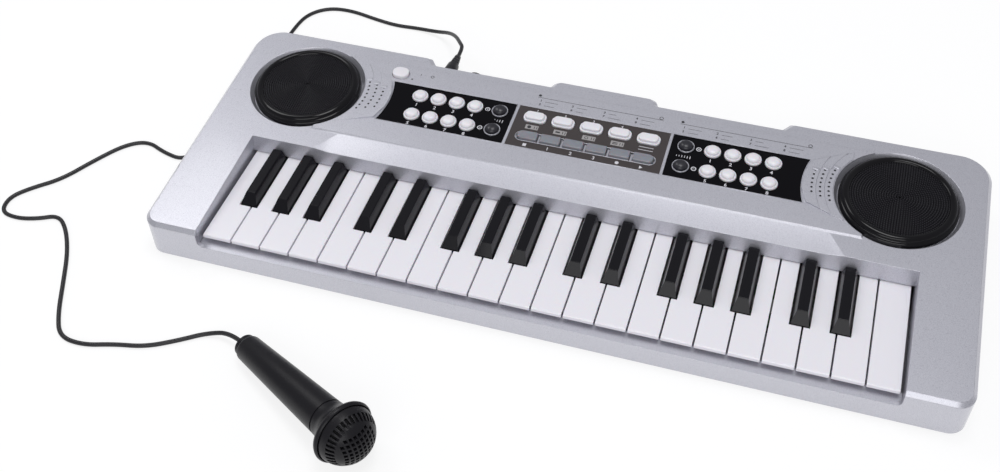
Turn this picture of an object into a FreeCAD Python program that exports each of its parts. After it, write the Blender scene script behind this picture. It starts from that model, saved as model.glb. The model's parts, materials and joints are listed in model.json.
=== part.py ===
import FreeCAD, Part
import math
import os

# Frame: millimetres, X along the keyboard to the treble end, Y towards the back, Z up.
# The origin is on the table, under the middle of the case's outline.

V = FreeCAD.Vector

# Case outline: as long as the keys and two cheeks, as deep as the keys and the speakers behind them
key_pitch = 16.5
white_count = 22
well_end_gap = 1.2
cheek_width = 31.7
well_half = white_count * key_pitch / 2 + well_end_gap
body_length = 2 * (well_half + cheek_width)
front_margin = 5.0
key_reach = 82.4
dish_radius = 33.7
dish_overhang = 0.7
dish_rear_margin = 8.7
dish_side_margin = 12.4
body_depth = front_margin + key_reach - dish_overhang + 2 * dish_radius + dish_rear_margin
half_length = body_length / 2
half_depth = body_depth / 2
case_bottom = 1.2
front_corner_radius = 9.0
rear_corner_radius = 17.0
recess_depth = 5.2
recess_rear = half_depth - recess_depth
wing_end = 106.0
wing_slant = 4.0
wing_end_radius = 2.0
tab_half = 31.5
tab_slant = 2.0
tab_radius = 5.0
wall = 2.2
cover_plate = 2.2
rim_chamfer = 2.0
front_top = 23.4
top_slope = 0.0625
overrun = 5.0
running_gap = 0.3

# Keys
white_gap = 0.9
key_top = 17.9
white_front = -half_depth + front_margin
white_lip = 2.3
white_skirt = 4.8
white_nose_length = 5.9
white_skirt_start = white_front + white_nose_length
white_shell = 1.4
white_nose_radius = 0.8
black_setback = 26.8
black_front = white_front + black_setback
black_rise = 5.5
black_nose_slant = 5.0
black_base = 9.2
black_crown = 5.2
black_edge_radius = 0.6
black_slot_gap = 0.6
black_end_gap = 0.7
# Black keys by the gaps of an octave from F up: how far each sits off its gap, by the pitch
black_offset_shares = (-0.115, 0.018, 0.133, None, -0.097, 0.103, None)

# Key bed
pivot_y = white_front + key_reach
well_rear_reach = 14.8
well_rear = pivot_y - well_rear_reach
well_lean = 1.9
well_wall = 1.8
well_foot_gap = 0.7
ledge_top = 13.1
ledge_lap = 3.4
ledge_rear = white_front + ledge_lap
ledge_corner_radius = 3.5
pivot_z = 12.4
pivot_radius = 1.6
tail_length = 4.0
rib_width = 2.0
rail_width = 3.2
contact_setback = 15.6
contact_y = black_front + contact_setback
contact_width = 9.0
contact_base = 0.8
contact_dome_radius = 2.6
contact_dome_height = 2.2
contact_crown_radius = 1.6
contact_stagger = 1.5
board_thickness = 1.6
key_board_top = 9.1
key_web = 6.0
key_board_width = 26.0
key_board_margin = 3.0
key_board_rib = 2.0

# Speakers
speaker_x = half_length - dish_radius - dish_side_margin
speaker_y = half_depth - dish_radius - dish_rear_margin
dish_lip = 2.1
dish_seat_radius = dish_radius - dish_lip
dish_depth = 3.0
grille_clearance = 0.4
grille_outer_radius = dish_seat_radius - grille_clearance
grille_crest_inset = 3.2
grille_crest_radius = grille_outer_radius - grille_crest_inset
grille_crest_rise = 2.3
grille_mesh_inset = 2.6
grille_mesh_radius = grille_crest_radius - grille_mesh_inset
grille_mesh_rise = 1.2
grille_mesh_crown = 0.8
grille_thickness = 1.8
speaker_hole_inset = 4.6
speaker_hole_radius = dish_seat_radius - speaker_hole_inset
driver_frame_lap = 2.0
driver_frame_radius = speaker_hole_radius + driver_frame_lap
driver_frame_thickness = 1.5
driver_cone_inset = 2.0
driver_cone_radius = speaker_hole_radius - driver_cone_inset
driver_basket_radius = 12.5
driver_basket_depth = 6.0
driver_magnet_radius = 11.0
driver_magnet_height = 5.0

# Control platform on the cover
platform_setback = 0.8
platform_front = pivot_y + platform_setback
platform_margin = 11.4
platform_rear = half_depth - platform_margin
platform_lap = 18.4
platform_half = speaker_x - dish_radius + platform_lap
platform_rise = 0.8
platform_bevel = 0.8
apron_lap = 1.9
apron_half = speaker_x - dish_radius + apron_lap
apron_flare = 10.5
apron_drop = 1.2
panel_front_reach = 15.0
panel_front = speaker_y - panel_front_reach
panel_rear_reach = 15.8
panel_rear = speaker_y + panel_rear_reach
panel_sheet = 0.8
panel_sink = 0.15
panel_fit = 0.1
panel_rib = 1.6

# Fans of sound holes beside the speakers
fan_gap = 0.5
fan_first_radius = dish_radius + fan_gap
fan_band = 4.5
fan_bands = 3
fan_tier_rise = 0.35
fan_border = 2.9
fan_edge_radius = fan_first_radius + fan_bands * fan_band + fan_border
fan_front_reach = 15.4
fan_front = speaker_y - fan_front_reach
fan_rear_reach = 15.2
fan_rear = speaker_y + fan_rear_reach
fan_throat_front_reach = 23.5
fan_throat_front = speaker_y - fan_throat_front_reach
fan_throat_rear_reach = 27.0
fan_throat_rear = speaker_y + fan_throat_rear_reach
fan_throat_lap = 7.4
fan_throat_x = speaker_x - dish_radius + fan_throat_lap
fan_corner_inset = 3.7
fan_corner_x = speaker_x - fan_edge_radius + fan_corner_inset
fan_hole_radius = 0.55
fan_hole_pitch = 3.2
fan_hole_counts = (8, 7, 6)
fan_hole_depth = 0.9

# Buttons, from the middle outwards: each group is spaced from the one before
row_rear_reach = 7.8
row_rear_y = speaker_y + row_rear_reach
row_front_reach = 7.4
row_front_y = speaker_y - row_front_reach
button_flange = 0.6
button_flange_height = 0.8
button_clearance = 0.3
button_travel = 1.0
strip_length = 11.2
strip_width = 6.0
strip_rise = 1.8
strip_pitch = 13.1
strip_count = 6
strip_corner = 1.0
strip_taper = 0.5
strip_slot_end = 1.45
strip_slot_length = (strip_count - 1) * strip_pitch + strip_length + 2 * strip_slot_end
strip_slot_side = 0.7
strip_slot_width = strip_width + 2 * strip_slot_side
strip_border = 3.8
centre_half = strip_slot_length / 2 + strip_border
panel_inner = centre_half + panel_rib
pad_length = 13.0
pad_width = 7.6
pad_rise = 2.6
pad_pitch = 16.3
pad_count = 5
pad_corner = 3.0
pad_taper = 0.7
rocker_inset = 8.2
rocker_x = panel_inner + rocker_inset
rocker_button_radius = 3.9
rocker_button_rise = 2.2
rocker_crown_radius = 3.3
rocker_rim_radius = 5.4
rocker_rim_rise = 0.7
round_button_radius = 4.6
round_button_rise = 2.8
round_button_crown_radius = 4.0
round_button_lead = 14.7
round_button_first = rocker_x + round_button_lead
round_button_pitch = 11.06
round_button_count = 4
power_lead = 17.32
power_x = -(round_button_first + (round_button_count - 1) * round_button_pitch + power_lead)
power_margin = 8.2
power_y = platform_rear - power_margin
power_length = 9.8
power_width = 8.2
power_rise = 2.0

# Main circuit board and its posts
board_gap = 6.6
main_board_half = speaker_x - dish_radius - board_gap
board_front_reach = 19.0
main_board_front = speaker_y - board_front_reach
board_rear_reach = 25.5
main_board_rear = speaker_y + board_rear_reach
board_drop = 6.5
panel_mat = 0.4
panel_mat_margin = 5.72
panel_mat_half = round_button_first + (round_button_count - 1) * round_button_pitch + panel_mat_margin
panel_mat_front_margin = 5.6
panel_mat_front = row_front_y - panel_mat_front_margin
panel_mat_rear_margin = 5.2
panel_mat_rear = row_rear_y + panel_mat_rear_margin
button_stem_gap = 0.3
post_radius = 3.5
# Posts by the board's half length and its depth from the front
post_shares = [(-0.875, 0.112), (0.875, 0.112), (-0.82, 0.888), (0.82, 0.888)]

# Rear sockets and the microphone's plug
socket_height = 23.0
socket_x = -96.0
socket_pitch = 17.0
socket_radius = 4.0
socket_bore_radius = 2.1
socket_cavity_radius = 2.7
socket_collar_step = 0.2
socket_length = 11.0
socket_end = 1.0
socket_nose_radius = 5.0
socket_nose = 5.0
plug_radius = 3.9
plug_mid_radius = 3.4
plug_tail_radius = 1.9
plug_shoulder = 0.6
plug_barrel = 8.0
plug_relief = 8.8
plug_pin_radius = 1.75
plug_pin_length = 13.0
plug_stand_off = 0.3

# Battery bay, door, feet and screws
bay_length = 108.0
bay_width = 30.0
door_x = 60.0
door_reach = 8.0
door_y = speaker_y - door_reach
door_thickness = 1.2
door_clearance = 0.3
door_seat = 2.5
door_grip_count = 5
door_grip_pitch = 3.0
door_grip_width = 1.2
door_grip_length = 9.0
door_grip_depth = 0.6
bay_wall = 1.2
bay_height = 17.6
foot_radius = 6.0
foot_sink = 0.8
foot_edge = 0.5
foot_side_inset = 24.4
foot_end_inset = 19.4
foot_x = half_length - foot_side_inset
foot_y = half_depth - foot_end_inset
screw_head_radius = 2.8
screw_head_height = 1.6
screw_shank_radius = 1.2
screw_length = 9.0
screw_recess = 2.2
screw_seat = 2.2
screw_boss_radius = 4.0
# Screws by the case's half length and half depth
screw_shares = [(-0.923, -0.418), (0.923, -0.418), (-0.653, 0.18), (-0.019, 0.184), (0.653, 0.18),
                (-0.923, 0.86), (-0.55, 0.872), (-0.168, 0.853), (0.168, 0.853), (0.55, 0.872), (0.923, 0.86)]

# Microphone lying on the table
mic_tail_x = -133.1
mic_tail_y = -130.7
mic_heading_degrees = -29.7
mic_tail_radius = 7.0
mic_neck_radius = 9.7
mic_collar_radius = 16.4
mic_collar_waist_radius = 9.9
mic_collar_width = 3.0
mic_collar_station = 82.0
mic_neck_station = 69.0
mic_waist_station = 72.5
# Flare of the collar by its rise from waist to rim, and by its widening
mic_flare_shares = [(0.3, 0.13), (0.55, 0.36), (0.8, 0.7)]
mic_tail_step = 3.0
mic_tail_step_radius = 5.9
mic_tail_edge = 1.2
mic_step_depth = 0.5
mic_step_width = 1.0
mic_rim_width = 1.3
mic_dome_radius = mic_collar_radius - mic_rim_width
mic_dome_height = 14.2
mic_dome_wall = 1.6
mic_bore_inset = 1.6
mic_bore_radius = mic_dome_radius - mic_bore_inset
mic_bore_depth = 7.0
mic_cell_pitch = 2.3
mic_cell_width = 1.5
mic_slot_count = 36
mic_slot_width = 1.3
mic_slot_margin = 0.9
mic_slot_length = 2.3
mic_cell_border = 0.8

# Microphone cord
cord_radius = 1.2
cord_height = 1.2
cord_arc_share = 0.45
cord_first_run = 9.0
cord_lead = 12.0
# Route from the plug down to the table, and along the table to the microphone's tail
cord_falling = [(-99.5, 113.0, 21.5), (-106.5, 125.0, 16.5), (-115.0, 136.0, 9.5), (-126.0, 142.5, 3.2)]
cord_lying = [(-141.0, 145.0), (-155.0, 144.0), (-170.0, 146.5), (-189.0, 151.0), (-205.0, 149.5),
              (-216.0, 139.0), (-218.5, 122.0), (-218.0, 95.0), (-219.5, 62.0), (-219.0, 32.0),
              (-221.0, 6.0), (-229.0, -12.0), (-244.0, -9.0), (-257.0, -3.0), (-269.0, -9.5),
              (-280.0, -27.0), (-290.0, -46.0), (-303.0, -57.5), (-311.0, -67.5), (-309.0, -79.0),
              (-297.5, -81.0), (-286.0, -78.0), (-276.0, -72.5), (-266.5, -80.5), (-256.0, -96.5),
              (-247.0, -116.0), (-238.0, -136.0), (-229.5, -149.0), (-215.0, -150.5), (-200.0, -145.5),
              (-184.0, -142.5), (-169.5, -134.0), (-157.5, -125.5)]


# Small building functions

def box(x0, x1, y0, y1, z0, z1):
    return Part.makeBox(x1 - x0, y1 - y0, z1 - z0, V(x0, y0, z0))


def cylinder(radius, height, x, y, z):
    return Part.makeCylinder(radius, height, V(x, y, z))


def fuse_all(shapes):
    return shapes[0].multiFuse(shapes[1:]).removeSplitter() if len(shapes) > 1 else shapes[0]


def rounded_edges(corners, height):
    """Closed run of lines and arcs through (x, y, radius) corners, at the height given for each y"""
    starts = []
    ends = []
    middles = []
    count = len(corners)
    for i in range(count):
        px, py, _ = corners[i - 1]
        x, y, radius = corners[i]
        nx, ny, _ = corners[(i + 1) % count]
        corner = V(x, y, 0)
        back = (V(px, py, 0) - corner).normalize()
        ahead = (V(nx, ny, 0) - corner).normalize()
        half = back.getAngle(ahead) / 2
        reach = radius / math.tan(half)
        inward = (back + ahead).normalize()
        starts.append(corner + back * reach)
        ends.append(corner + ahead * reach)
        middles.append(corner + inward * (radius / math.sin(half) - radius))
    for point in starts + ends + middles:
        point.z = height(point.y)
    edges = []
    for i in range(count):
        if corners[i][2] > 0:
            edges.append(Part.Arc(starts[i], middles[i], ends[i]).toShape())
        following = (i + 1) % count
        edges.append(Part.LineSegment(ends[i], starts[following]).toShape())
    return edges


def level(y):
    return 0.0


def rounded_face(corners):
    """Flat face at z = 0 from (x, y, radius) corners, each rounded by its own radius"""
    return Part.Face(Part.Wire(rounded_edges(corners, level)))


def prism(corners, z0, z1):
    face = rounded_face(corners)
    face.translate(V(0, 0, z0))
    return face.extrude(V(0, 0, z1 - z0))


def slot_prism(length, width, radius, x, y, z0, z1):
    a = length / 2
    b = width / 2
    return prism([(x - a, y - b, radius), (x + a, y - b, radius), (x + a, y + b, radius),
                  (x - a, y + b, radius)], z0, z1)


def side_prism(profile, x0, x1):
    """Solid between x0 and x1 with a side profile of (y, z) points"""
    points = [V(x0, y, z) for y, z in profile]
    face = Part.Face(Part.makePolygon(points + [points[0]]))
    return face.extrude(V(x1 - x0, 0, 0))


def revolve_profile(profile):
    """Solid of revolution about Z from (radius, z) points"""
    points = [V(r, 0, z) for r, z in profile]
    face = Part.Face(Part.makePolygon(points + [points[0]]))
    return face.revolve(V(0, 0, 0), V(0, 0, 1), 360)


def top_height(y):
    """Height of the cover's sloping top at depth y"""
    return front_top + top_slope * (y + half_depth)


def deck_height(y):
    """Height of the control platform's top at depth y"""
    return top_height(y) + platform_rise


tilt_degrees = math.degrees(math.atan(top_slope))


def on_deck(shape, x, y, rise=0.0):
    """Set a shape made about its own Z axis on the sloping deck"""
    placed = shape.copy()
    placed.rotate(V(0, 0, 0), V(1, 0, 0), tilt_degrees)
    placed.translate(V(x, y, deck_height(y) + rise))
    return placed


def case_outline(inset):
    """Corners of the case seen from above, drawn in by an inset"""
    right = half_length - inset
    front = -half_depth + inset
    wing = half_depth - inset
    recess = recess_rear - inset
    corners = [(right, front, front_corner_radius - inset), (right, wing, rear_corner_radius - inset),
               (wing_end + inset, wing, wing_end_radius),
               (wing_end - wing_slant + inset, recess, wing_end_radius),
               (tab_half - inset, recess, wing_end_radius),
               (tab_half - tab_slant - inset, wing, tab_radius - inset)]
    mirrored = [(-x, y, radius) for x, y, radius in reversed(corners)]
    return corners + mirrored


def sloped_slab(under, over):
    """Slab between two planes that follow the cover's top, given below and above it"""
    y0 = -half_depth - overrun
    y1 = half_depth + overrun
    profile = [(y0, top_height(y0) - under), (y1, top_height(y1) - under),
               (y1, top_height(y1) + over), (y0, top_height(y0) + over)]
    return side_prism(profile, -half_length - overrun, half_length + overrun)


def save(name, shape):
    shape.exportStep("parts/" + name + ".step")
    volumes.append((name, len(shape.Solids), shape.Volume))


# Bottom case: a tray with the front ledge, the pivot rail, posts and the battery bay

def bottom_case():
    high = top_height(half_depth) + overrun
    tray = prism(case_outline(0), case_bottom, high)
    tray = tray.cut(sloped_slab(cover_plate, high))
    inside = prism(case_outline(wall), case_bottom + wall, high)
    tray = tray.cut(inside)
    # The front wall drops to the ledge between the cheeks, with round lower corners
    a = well_half
    notch_top = front_top + overrun
    notch = side_prism([(-half_depth - overrun, ledge_top), (ledge_rear, ledge_top),
                        (ledge_rear, notch_top), (-half_depth - overrun, notch_top)], -a, a)
    notch = notch.makeFillet(ledge_corner_radius, [e for e in notch.Edges if lies_along_y(e, a, ledge_top)])
    tray = tray.cut(notch)
    shelf = box(-a, a, -half_depth + wall, ledge_rear, ledge_top - wall, ledge_top)
    pieces = [tray, shelf]
    # Rail that carries the key pivots
    rail = box(-a, a, pivot_y - rail_width / 2, pivot_y + rail_width / 2, case_bottom + wall, pivot_z)
    rail_top = Part.makeCylinder(pivot_radius, 2 * a, V(-a, pivot_y, pivot_z), V(1, 0, 0))
    pieces += [rail, rail_top]
    # Ribs that carry the key board
    for side in (-1, 1):
        y = contact_y + side * (key_board_width / 2 - key_board_rib)
        pieces.append(box(-a, a, y - key_board_rib / 2, y + key_board_rib / 2, case_bottom + wall,
                          key_board_top - board_thickness))
    # Battery bay, open below where the door closes it
    roof = case_bottom + bay_height
    pieces.append(bay_box(bay_wall, case_bottom + wall, roof))
    for x, y in screw_places():
        pieces.append(cylinder(screw_boss_radius, screw_recess + screw_seat, x, y, case_bottom))
    case = fuse_all(pieces)
    cuts = [bay_box(0, case_bottom, roof - bay_wall)]
    cuts.append(bay_box(door_seat + door_clearance, case_bottom,
                        case_bottom + door_thickness + door_clearance))
    for x, y in screw_places():
        cuts.append(cylinder(screw_head_radius + running_gap, screw_recess, x, y, case_bottom))
        cuts.append(cylinder(screw_shank_radius + running_gap, screw_recess + 2 * screw_seat, x, y,
                             case_bottom))
    for x, y in foot_places():
        cuts.append(cylinder(foot_radius + running_gap, foot_sink, x, y, case_bottom))
    for x in socket_places():
        cuts.append(Part.makeCylinder(socket_radius + running_gap, wall + 2 * overrun,
                                      V(x, recess_rear - wall - overrun, socket_height), V(0, 1, 0)))
    return case.cut(Part.Compound(cuts))


def lies_along_y(edge, x, z):
    """Whether an edge runs along Y at x, on either side, and z"""
    return all(abs(abs(p.X) - x) < running_gap and abs(p.Z - z) < running_gap for p in edge.Vertexes)


def lies_along_x(edge, y, z):
    return all(abs(p.Y - y) < running_gap and abs(p.Z - z) < running_gap for p in edge.Vertexes)


def bay_box(margin, z0, z1):
    """Box over the battery bay's plan, widened by a margin"""
    a = bay_length / 2 + margin
    b = bay_width / 2 + margin
    return box(door_x - a, door_x + a, door_y - b, door_y + b, z0, z1)


def screw_places():
    return [(x_share * half_length, y_share * half_depth) for x_share, y_share in screw_shares]


def foot_places():
    """Feet under the four corners and the middle"""
    return [(sx * foot_x, sy * foot_y) for sx in (-1, 1) for sy in (-1, 1)] + [(0, 0)]


def socket_places():
    return [socket_x, socket_x + socket_pitch]


# Top cover: a sloping plate with a bevelled rim, the key well, the raised platform and the speaker dishes

def top_cover():
    high = top_height(half_depth) + 2 * overrun
    slab = bevelled_slab(case_outline(0), case_outline(rim_chamfer), cover_plate, rim_chamfer, 0)
    lip_outer = prism(case_outline(wall + running_gap), case_bottom, high)
    lip_inner = prism(case_outline(2 * wall + running_gap), case_bottom, high)
    lip = lip_outer.cut(lip_inner).common(sloped_slab(2 * cover_plate, -cover_plate / 2))
    lip = lip.cut(box(-tab_half - wing_end, tab_half + wing_end, recess_rear - overrun, half_depth,
                      case_bottom, high))
    y0 = platform_front
    y1 = platform_rear
    a = platform_half
    b = platform_bevel
    foot = [(-a, y0, 0), (a, y0, 0), (a, y1, 0), (-a, y1, 0)]
    brow = [(b - a, y0 + b, 0), (a - b, y0 + b, 0), (a - b, y1 - b, 0), (b - a, y1 - b, 0)]
    platform = bevelled_slab(foot, brow, cover_plate + platform_rise, platform_rise, platform_rise)
    pieces = [slab, lip, platform, hold_down_rib()] + well_walls(high) + board_posts() + screw_posts()
    pieces += [dish_shell(side) for side in (-1, 1)]
    cover = fuse_all(pieces)
    cover = cover.cut(apron_cut(high))
    cover = cover.cut(well_opening(high))
    cover = fuse_all([cover] + fan_tiers(high) + rocker_rims())
    cuts = panel_cuts(high) + button_cuts() + fan_holes()
    for side in (-1, 1):
        cuts.append(speaker_dish(side))
    cover = cover.cut(Part.Compound(cuts))
    return cover


def bevelled_slab(foot, brow, depth, bevel, rise):
    """Slab below the cover's top plane raised by rise, upright to the bevel, then drawn in to the brow"""
    heights = [(foot, rise - depth), (foot, rise - bevel), (brow, rise)]
    wires = [Part.Wire(rounded_edges(corners, lambda y, up=up: top_height(y) + up))
             for corners, up in heights]
    return Part.makeLoft(wires, True, True)


def well_opening(high):
    """The open key well, leaning back at its rear"""
    a = well_half
    foot = key_top + well_foot_gap
    lean = well_lean / (top_height(well_rear) - key_top)
    back_top = well_rear + lean * (high - key_top)
    back_low = well_rear + lean * (foot - key_top)
    profile = [(-half_depth - overrun, case_bottom), (back_low, case_bottom), (back_low, foot),
               (back_top, high), (-half_depth - overrun, high)]
    return side_prism(profile, -a, a)


def well_walls(high):
    """Cheek walls beside the keys and the leaning wall behind them"""
    a = well_half
    front = -half_depth + wall + running_gap
    low = ledge_top + running_gap
    foot = key_top + well_foot_gap
    back = well_rear + well_lean + well_wall
    walls = []
    for side in (-1, 1):
        x0, x1 = sorted((side * a, side * (a + well_wall)))
        cheek = box(x0, x1, front, back, low, high).common(sloped_slab(high, 0))
        walls.append(cheek)
    rear = box(-a - well_wall, a + well_wall, well_rear, back + well_wall, foot, high)
    walls.append(rear.common(sloped_slab(high, 0)))
    return walls


def hold_down_rib():
    """Rib that keeps the keys on their rail"""
    a = well_half
    y0 = pivot_y - rib_width / 2
    y1 = pivot_y + rib_width / 2
    rib = box(-a, a, y0, y1, key_top + running_gap, top_height(y1))
    return rib.common(sloped_slab(half_depth, -cover_plate / 2))


def board_posts():
    posts = []
    for x_share, y_share in post_shares:
        x = x_share * main_board_half
        y = main_board_front + y_share * (main_board_rear - main_board_front)
        z0 = top_height(y) - cover_plate - board_drop
        posts.append(cylinder(post_radius, board_drop + cover_plate / 2, x, y, z0 + running_gap))
    return posts


def screw_posts():
    """Posts that stand on the case's bosses and take the screws"""
    posts = []
    for x, y in screw_places():
        low = case_bottom + screw_recess + screw_seat + running_gap / 3
        post = cylinder(post_radius, top_height(y) - cover_plate / 2 - low, x, y, low)
        posts.append(post.cut(cylinder(screw_shank_radius + running_gap, screw_length, x, y, low)))
    return posts


def apron_cut(high):
    """The strip before the platform falls a little towards the keys"""
    y0 = well_rear - overrun
    y1 = platform_front
    fall = apron_drop * (y1 - y0) / (y1 - well_rear)
    low = apron_half + apron_flare * (y1 - y0) / (y1 - well_rear)
    rear = [V(-apron_half, y1, top_height(y1)), V(apron_half, y1, top_height(y1)), V(0, y1, high)]
    front = [V(-low, y0, top_height(y0)), V(low, y0, top_height(y0))]
    sunk = [V(-apron_half, y0, top_height(y0) - fall), V(apron_half, y0, top_height(y0) - fall)]
    a, b, _ = rear
    c, d = front
    e, f = sunk
    faces = [Part.makePolygon([a, b, f, e, a]), Part.makePolygon([a, e, c, a]),
             Part.makePolygon([b, d, f, b]), Part.makePolygon([c, e, f, d, c]),
             Part.makePolygon([a, c, d, b, a])]
    return Part.makeSolid(Part.makeShell([Part.Face(w) for w in faces]))


def fan_tiers(high):
    """Three low tiers that step up from the speaker, inside a bulging edge"""
    tiers = []
    for side in (-1, 1):
        wedge = prism([(side * fan_throat_x, fan_throat_front, 0), (side * fan_corner_x, fan_front, 0),
                       (side * (speaker_x - fan_edge_radius), speaker_y - overrun, 0),
                       (side * (speaker_x - fan_edge_radius), speaker_y + overrun, 0),
                       (side * fan_corner_x, fan_rear, 0), (side * fan_throat_x, fan_throat_rear, 0)][::side],
                      case_bottom, high)
        disc = cylinder(fan_edge_radius, high, side * speaker_x, speaker_y, case_bottom)
        wedge = wedge.common(disc)
        for band in range(fan_bands):
            bore = cylinder(fan_first_radius + band * fan_band, high, side * speaker_x, speaker_y,
                            case_bottom)
            rise = platform_rise + (band + 1) * fan_tier_rise
            tiers.append(wedge.cut(bore).common(sloped_slab(cover_plate / 2, rise)))
    return tiers


def fan_holes():
    holes = []
    for side in (-1, 1):
        for band, count in enumerate(fan_hole_counts):
            radius = fan_first_radius + (band + 1 / 2) * fan_band
            step = fan_hole_pitch / radius
            for i in range(count):
                angle = (i - (count - 1) / 2) * step
                x = side * (speaker_x - radius * math.cos(angle))
                y = speaker_y + radius * math.sin(angle)
                z = deck_height(y) + (band + 1) * fan_tier_rise - fan_hole_depth
                hole = cylinder(fan_hole_radius, fan_hole_depth + overrun, x, y, z)
                holes.append(hole)
    return holes


def rocker_rims():
    """Raised rings round the volume and tempo buttons"""
    rims = []
    for side in (-1, 1):
        for y in (row_rear_y, row_front_y):
            rim = cylinder(rocker_rim_radius, rocker_rim_rise + cover_plate, 0, 0, -cover_plate)
            rims.append(on_deck(rim, side * rocker_x, y))
    return rims


def panel_plan(side, margin):
    """Side panel seen from above: square at the centre, round beside the fan"""
    x0, x1 = sorted((side * (panel_inner - margin), side * (speaker_x - fan_edge_radius + overrun)))
    z0, z1 = case_bottom, top_height(half_depth) + overrun
    plan = box(x0, x1, panel_front - margin, panel_rear + margin, z0, z1)
    disc = cylinder(fan_edge_radius + panel_fit - margin, z1 - z0, side * speaker_x, speaker_y, z0)
    return plan.cut(disc)


def centre_plan(margin):
    a = centre_half + margin
    return box(-a, a, panel_front - margin, panel_rear + margin, case_bottom,
               top_height(half_depth) + overrun)


def rocker_places():
    return [(side * rocker_x, y) for side in (-1, 1) for y in (row_rear_y, row_front_y)]


def panel_cuts(high):
    floor = sloped_slab(panel_sheet + panel_sink - platform_rise, high)
    collars = [on_deck(cylinder(rocker_rim_radius, high, 0, 0, -cover_plate), x, y)
               for x, y in rocker_places()]
    keep = fuse_all(collars)
    cuts = [panel_plan(side, panel_fit).common(floor).cut(keep) for side in (-1, 1)]
    cuts.append(centre_plan(panel_fit).common(floor))
    return cuts


def tone_places():
    return [(-round_button_first - i * round_button_pitch, y)
            for y in (row_rear_y, row_front_y) for i in range(round_button_count)]


def rhythm_places():
    return [(-x, y) for x, y in tone_places()]


def pad_places():
    return [((i - (pad_count - 1) / 2) * pad_pitch, row_rear_y) for i in range(pad_count)]


def strip_places():
    return [((i - (strip_count - 1) / 2) * strip_pitch, row_front_y) for i in range(strip_count)]


def button_cuts():
    depth = cover_plate + platform_rise + overrun
    cuts = []
    for x, y in tone_places() + rhythm_places():
        cuts.append(on_deck(cylinder(round_button_radius + button_clearance, 2 * depth, 0, 0, -depth), x, y))
    for x, y in rocker_places():
        cuts.append(on_deck(cylinder(rocker_button_radius + button_clearance, 2 * depth, 0, 0, -depth), x, y))
    gap = 2 * button_clearance
    for x, y in pad_places():
        hole = slot_prism(pad_length + gap, pad_width + gap, pad_corner, 0, 0, -depth, depth)
        cuts.append(on_deck(hole, x, y))
    for x, y in strip_places():
        hole = slot_prism(strip_length + gap, strip_width + gap, strip_corner, 0, 0, -depth, depth)
        cuts.append(on_deck(hole, x, y))
    hole = slot_prism(power_length + gap, power_width + gap, power_width / 2, 0, 0, -depth, depth)
    cuts.append(on_deck(hole, power_x, power_y))
    return cuts


def at_speaker(shape, side):
    """Set a shape made about Z on the cover's top plane at a speaker"""
    placed = shape.copy()
    placed.rotate(V(0, 0, 0), V(1, 0, 0), tilt_degrees)
    placed.translate(V(side * speaker_x, speaker_y, top_height(speaker_y)))
    return placed


def speaker_dish(side):
    """Dished seat for the grille, with the sound opening below it"""
    profile = [(0, -dish_depth - 2 * overrun), (speaker_hole_radius, -dish_depth - 2 * overrun),
               (speaker_hole_radius, -dish_depth), (dish_seat_radius, -dish_depth), (dish_radius, 0),
               (dish_radius, overrun), (0, overrun)]
    return at_speaker(revolve_profile(profile), side)


def dish_shell(side):
    """Pan under the cover that the dish is sunk into"""
    floor = dish_depth + cover_plate / 2
    profile = [(speaker_hole_radius, -floor), (dish_radius + cover_plate / 2, -floor),
               (dish_radius + cover_plate / 2, -cover_plate / 2), (speaker_hole_radius, -cover_plate / 2)]
    return at_speaker(revolve_profile(profile), side)


# Speakers

def speaker_grille(side):
    base = -dish_depth + running_gap
    crest = grille_crest_rise
    outer = grille_outer_radius
    shoulder = (outer + grille_crest_radius) / 2
    middle = grille_mesh_rise + grille_mesh_crown
    profile = [(0, middle - grille_thickness), (0, middle),
               (grille_mesh_radius / 2, grille_mesh_rise + 3 / 4 * grille_mesh_crown),
               (grille_mesh_radius, grille_mesh_rise), (grille_mesh_radius, grille_mesh_rise + running_gap),
               ((grille_mesh_radius + grille_crest_radius) / 2, crest), (grille_crest_radius, crest),
               (shoulder, crest / 2), (outer, base + grille_thickness), (outer, base),
               (speaker_hole_radius + running_gap, base), (speaker_hole_radius - grille_thickness, -running_gap),
               (grille_mesh_radius / 2, grille_mesh_rise + 3 / 4 * grille_mesh_crown - grille_thickness)]
    return at_speaker(revolve_profile(profile), side)


def speaker_driver(side):
    top = -dish_depth - cover_plate / 2 - running_gap / 3
    frame = top - driver_frame_thickness
    basket = frame - driver_basket_depth
    magnet = basket - driver_magnet_height
    profile = [(0, basket + driver_frame_thickness),
               (driver_basket_radius - driver_frame_thickness, basket + driver_frame_thickness),
               (driver_cone_radius, top), (driver_frame_radius, top), (driver_frame_radius, frame),
               (driver_cone_radius, frame), (driver_basket_radius, basket), (driver_magnet_radius, basket),
               (driver_magnet_radius, magnet), (0, magnet)]
    return at_speaker(revolve_profile(profile), side)


# Panels let into the cover

def panel_holes():
    depth = cover_plate + platform_rise + overrun
    slot = slot_prism(strip_slot_length, strip_slot_width, strip_slot_width / 2 - running_gap, 0, 0, -depth,
                      depth)
    extra = button_cuts() + [on_deck(slot, 0, row_front_y)]
    collars = [on_deck(cylinder(rocker_rim_radius + panel_fit, 2 * depth, 0, 0, -depth), x, y)
               for x, y in rocker_places()]
    return Part.Compound(extra + collars)


def side_panels():
    sheet = sloped_slab(panel_sheet + panel_sink - platform_rise, platform_rise - panel_sink)
    holes = panel_holes()
    return [panel_plan(side, 0).common(sheet).cut(holes) for side in (-1, 1)]


def centre_panel():
    sheet = sloped_slab(panel_sheet + panel_sink - platform_rise, platform_rise - panel_sink)
    return centre_plan(0).common(sheet).cut(panel_holes())


# Buttons: a cap through the cover, a flange under it and a stem towards the board

def flange_top():
    return -platform_rise - cover_plate - button_clearance


def stem_bottom():
    return -platform_rise - cover_plate - board_drop + button_travel + 2 * button_stem_gap


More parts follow.
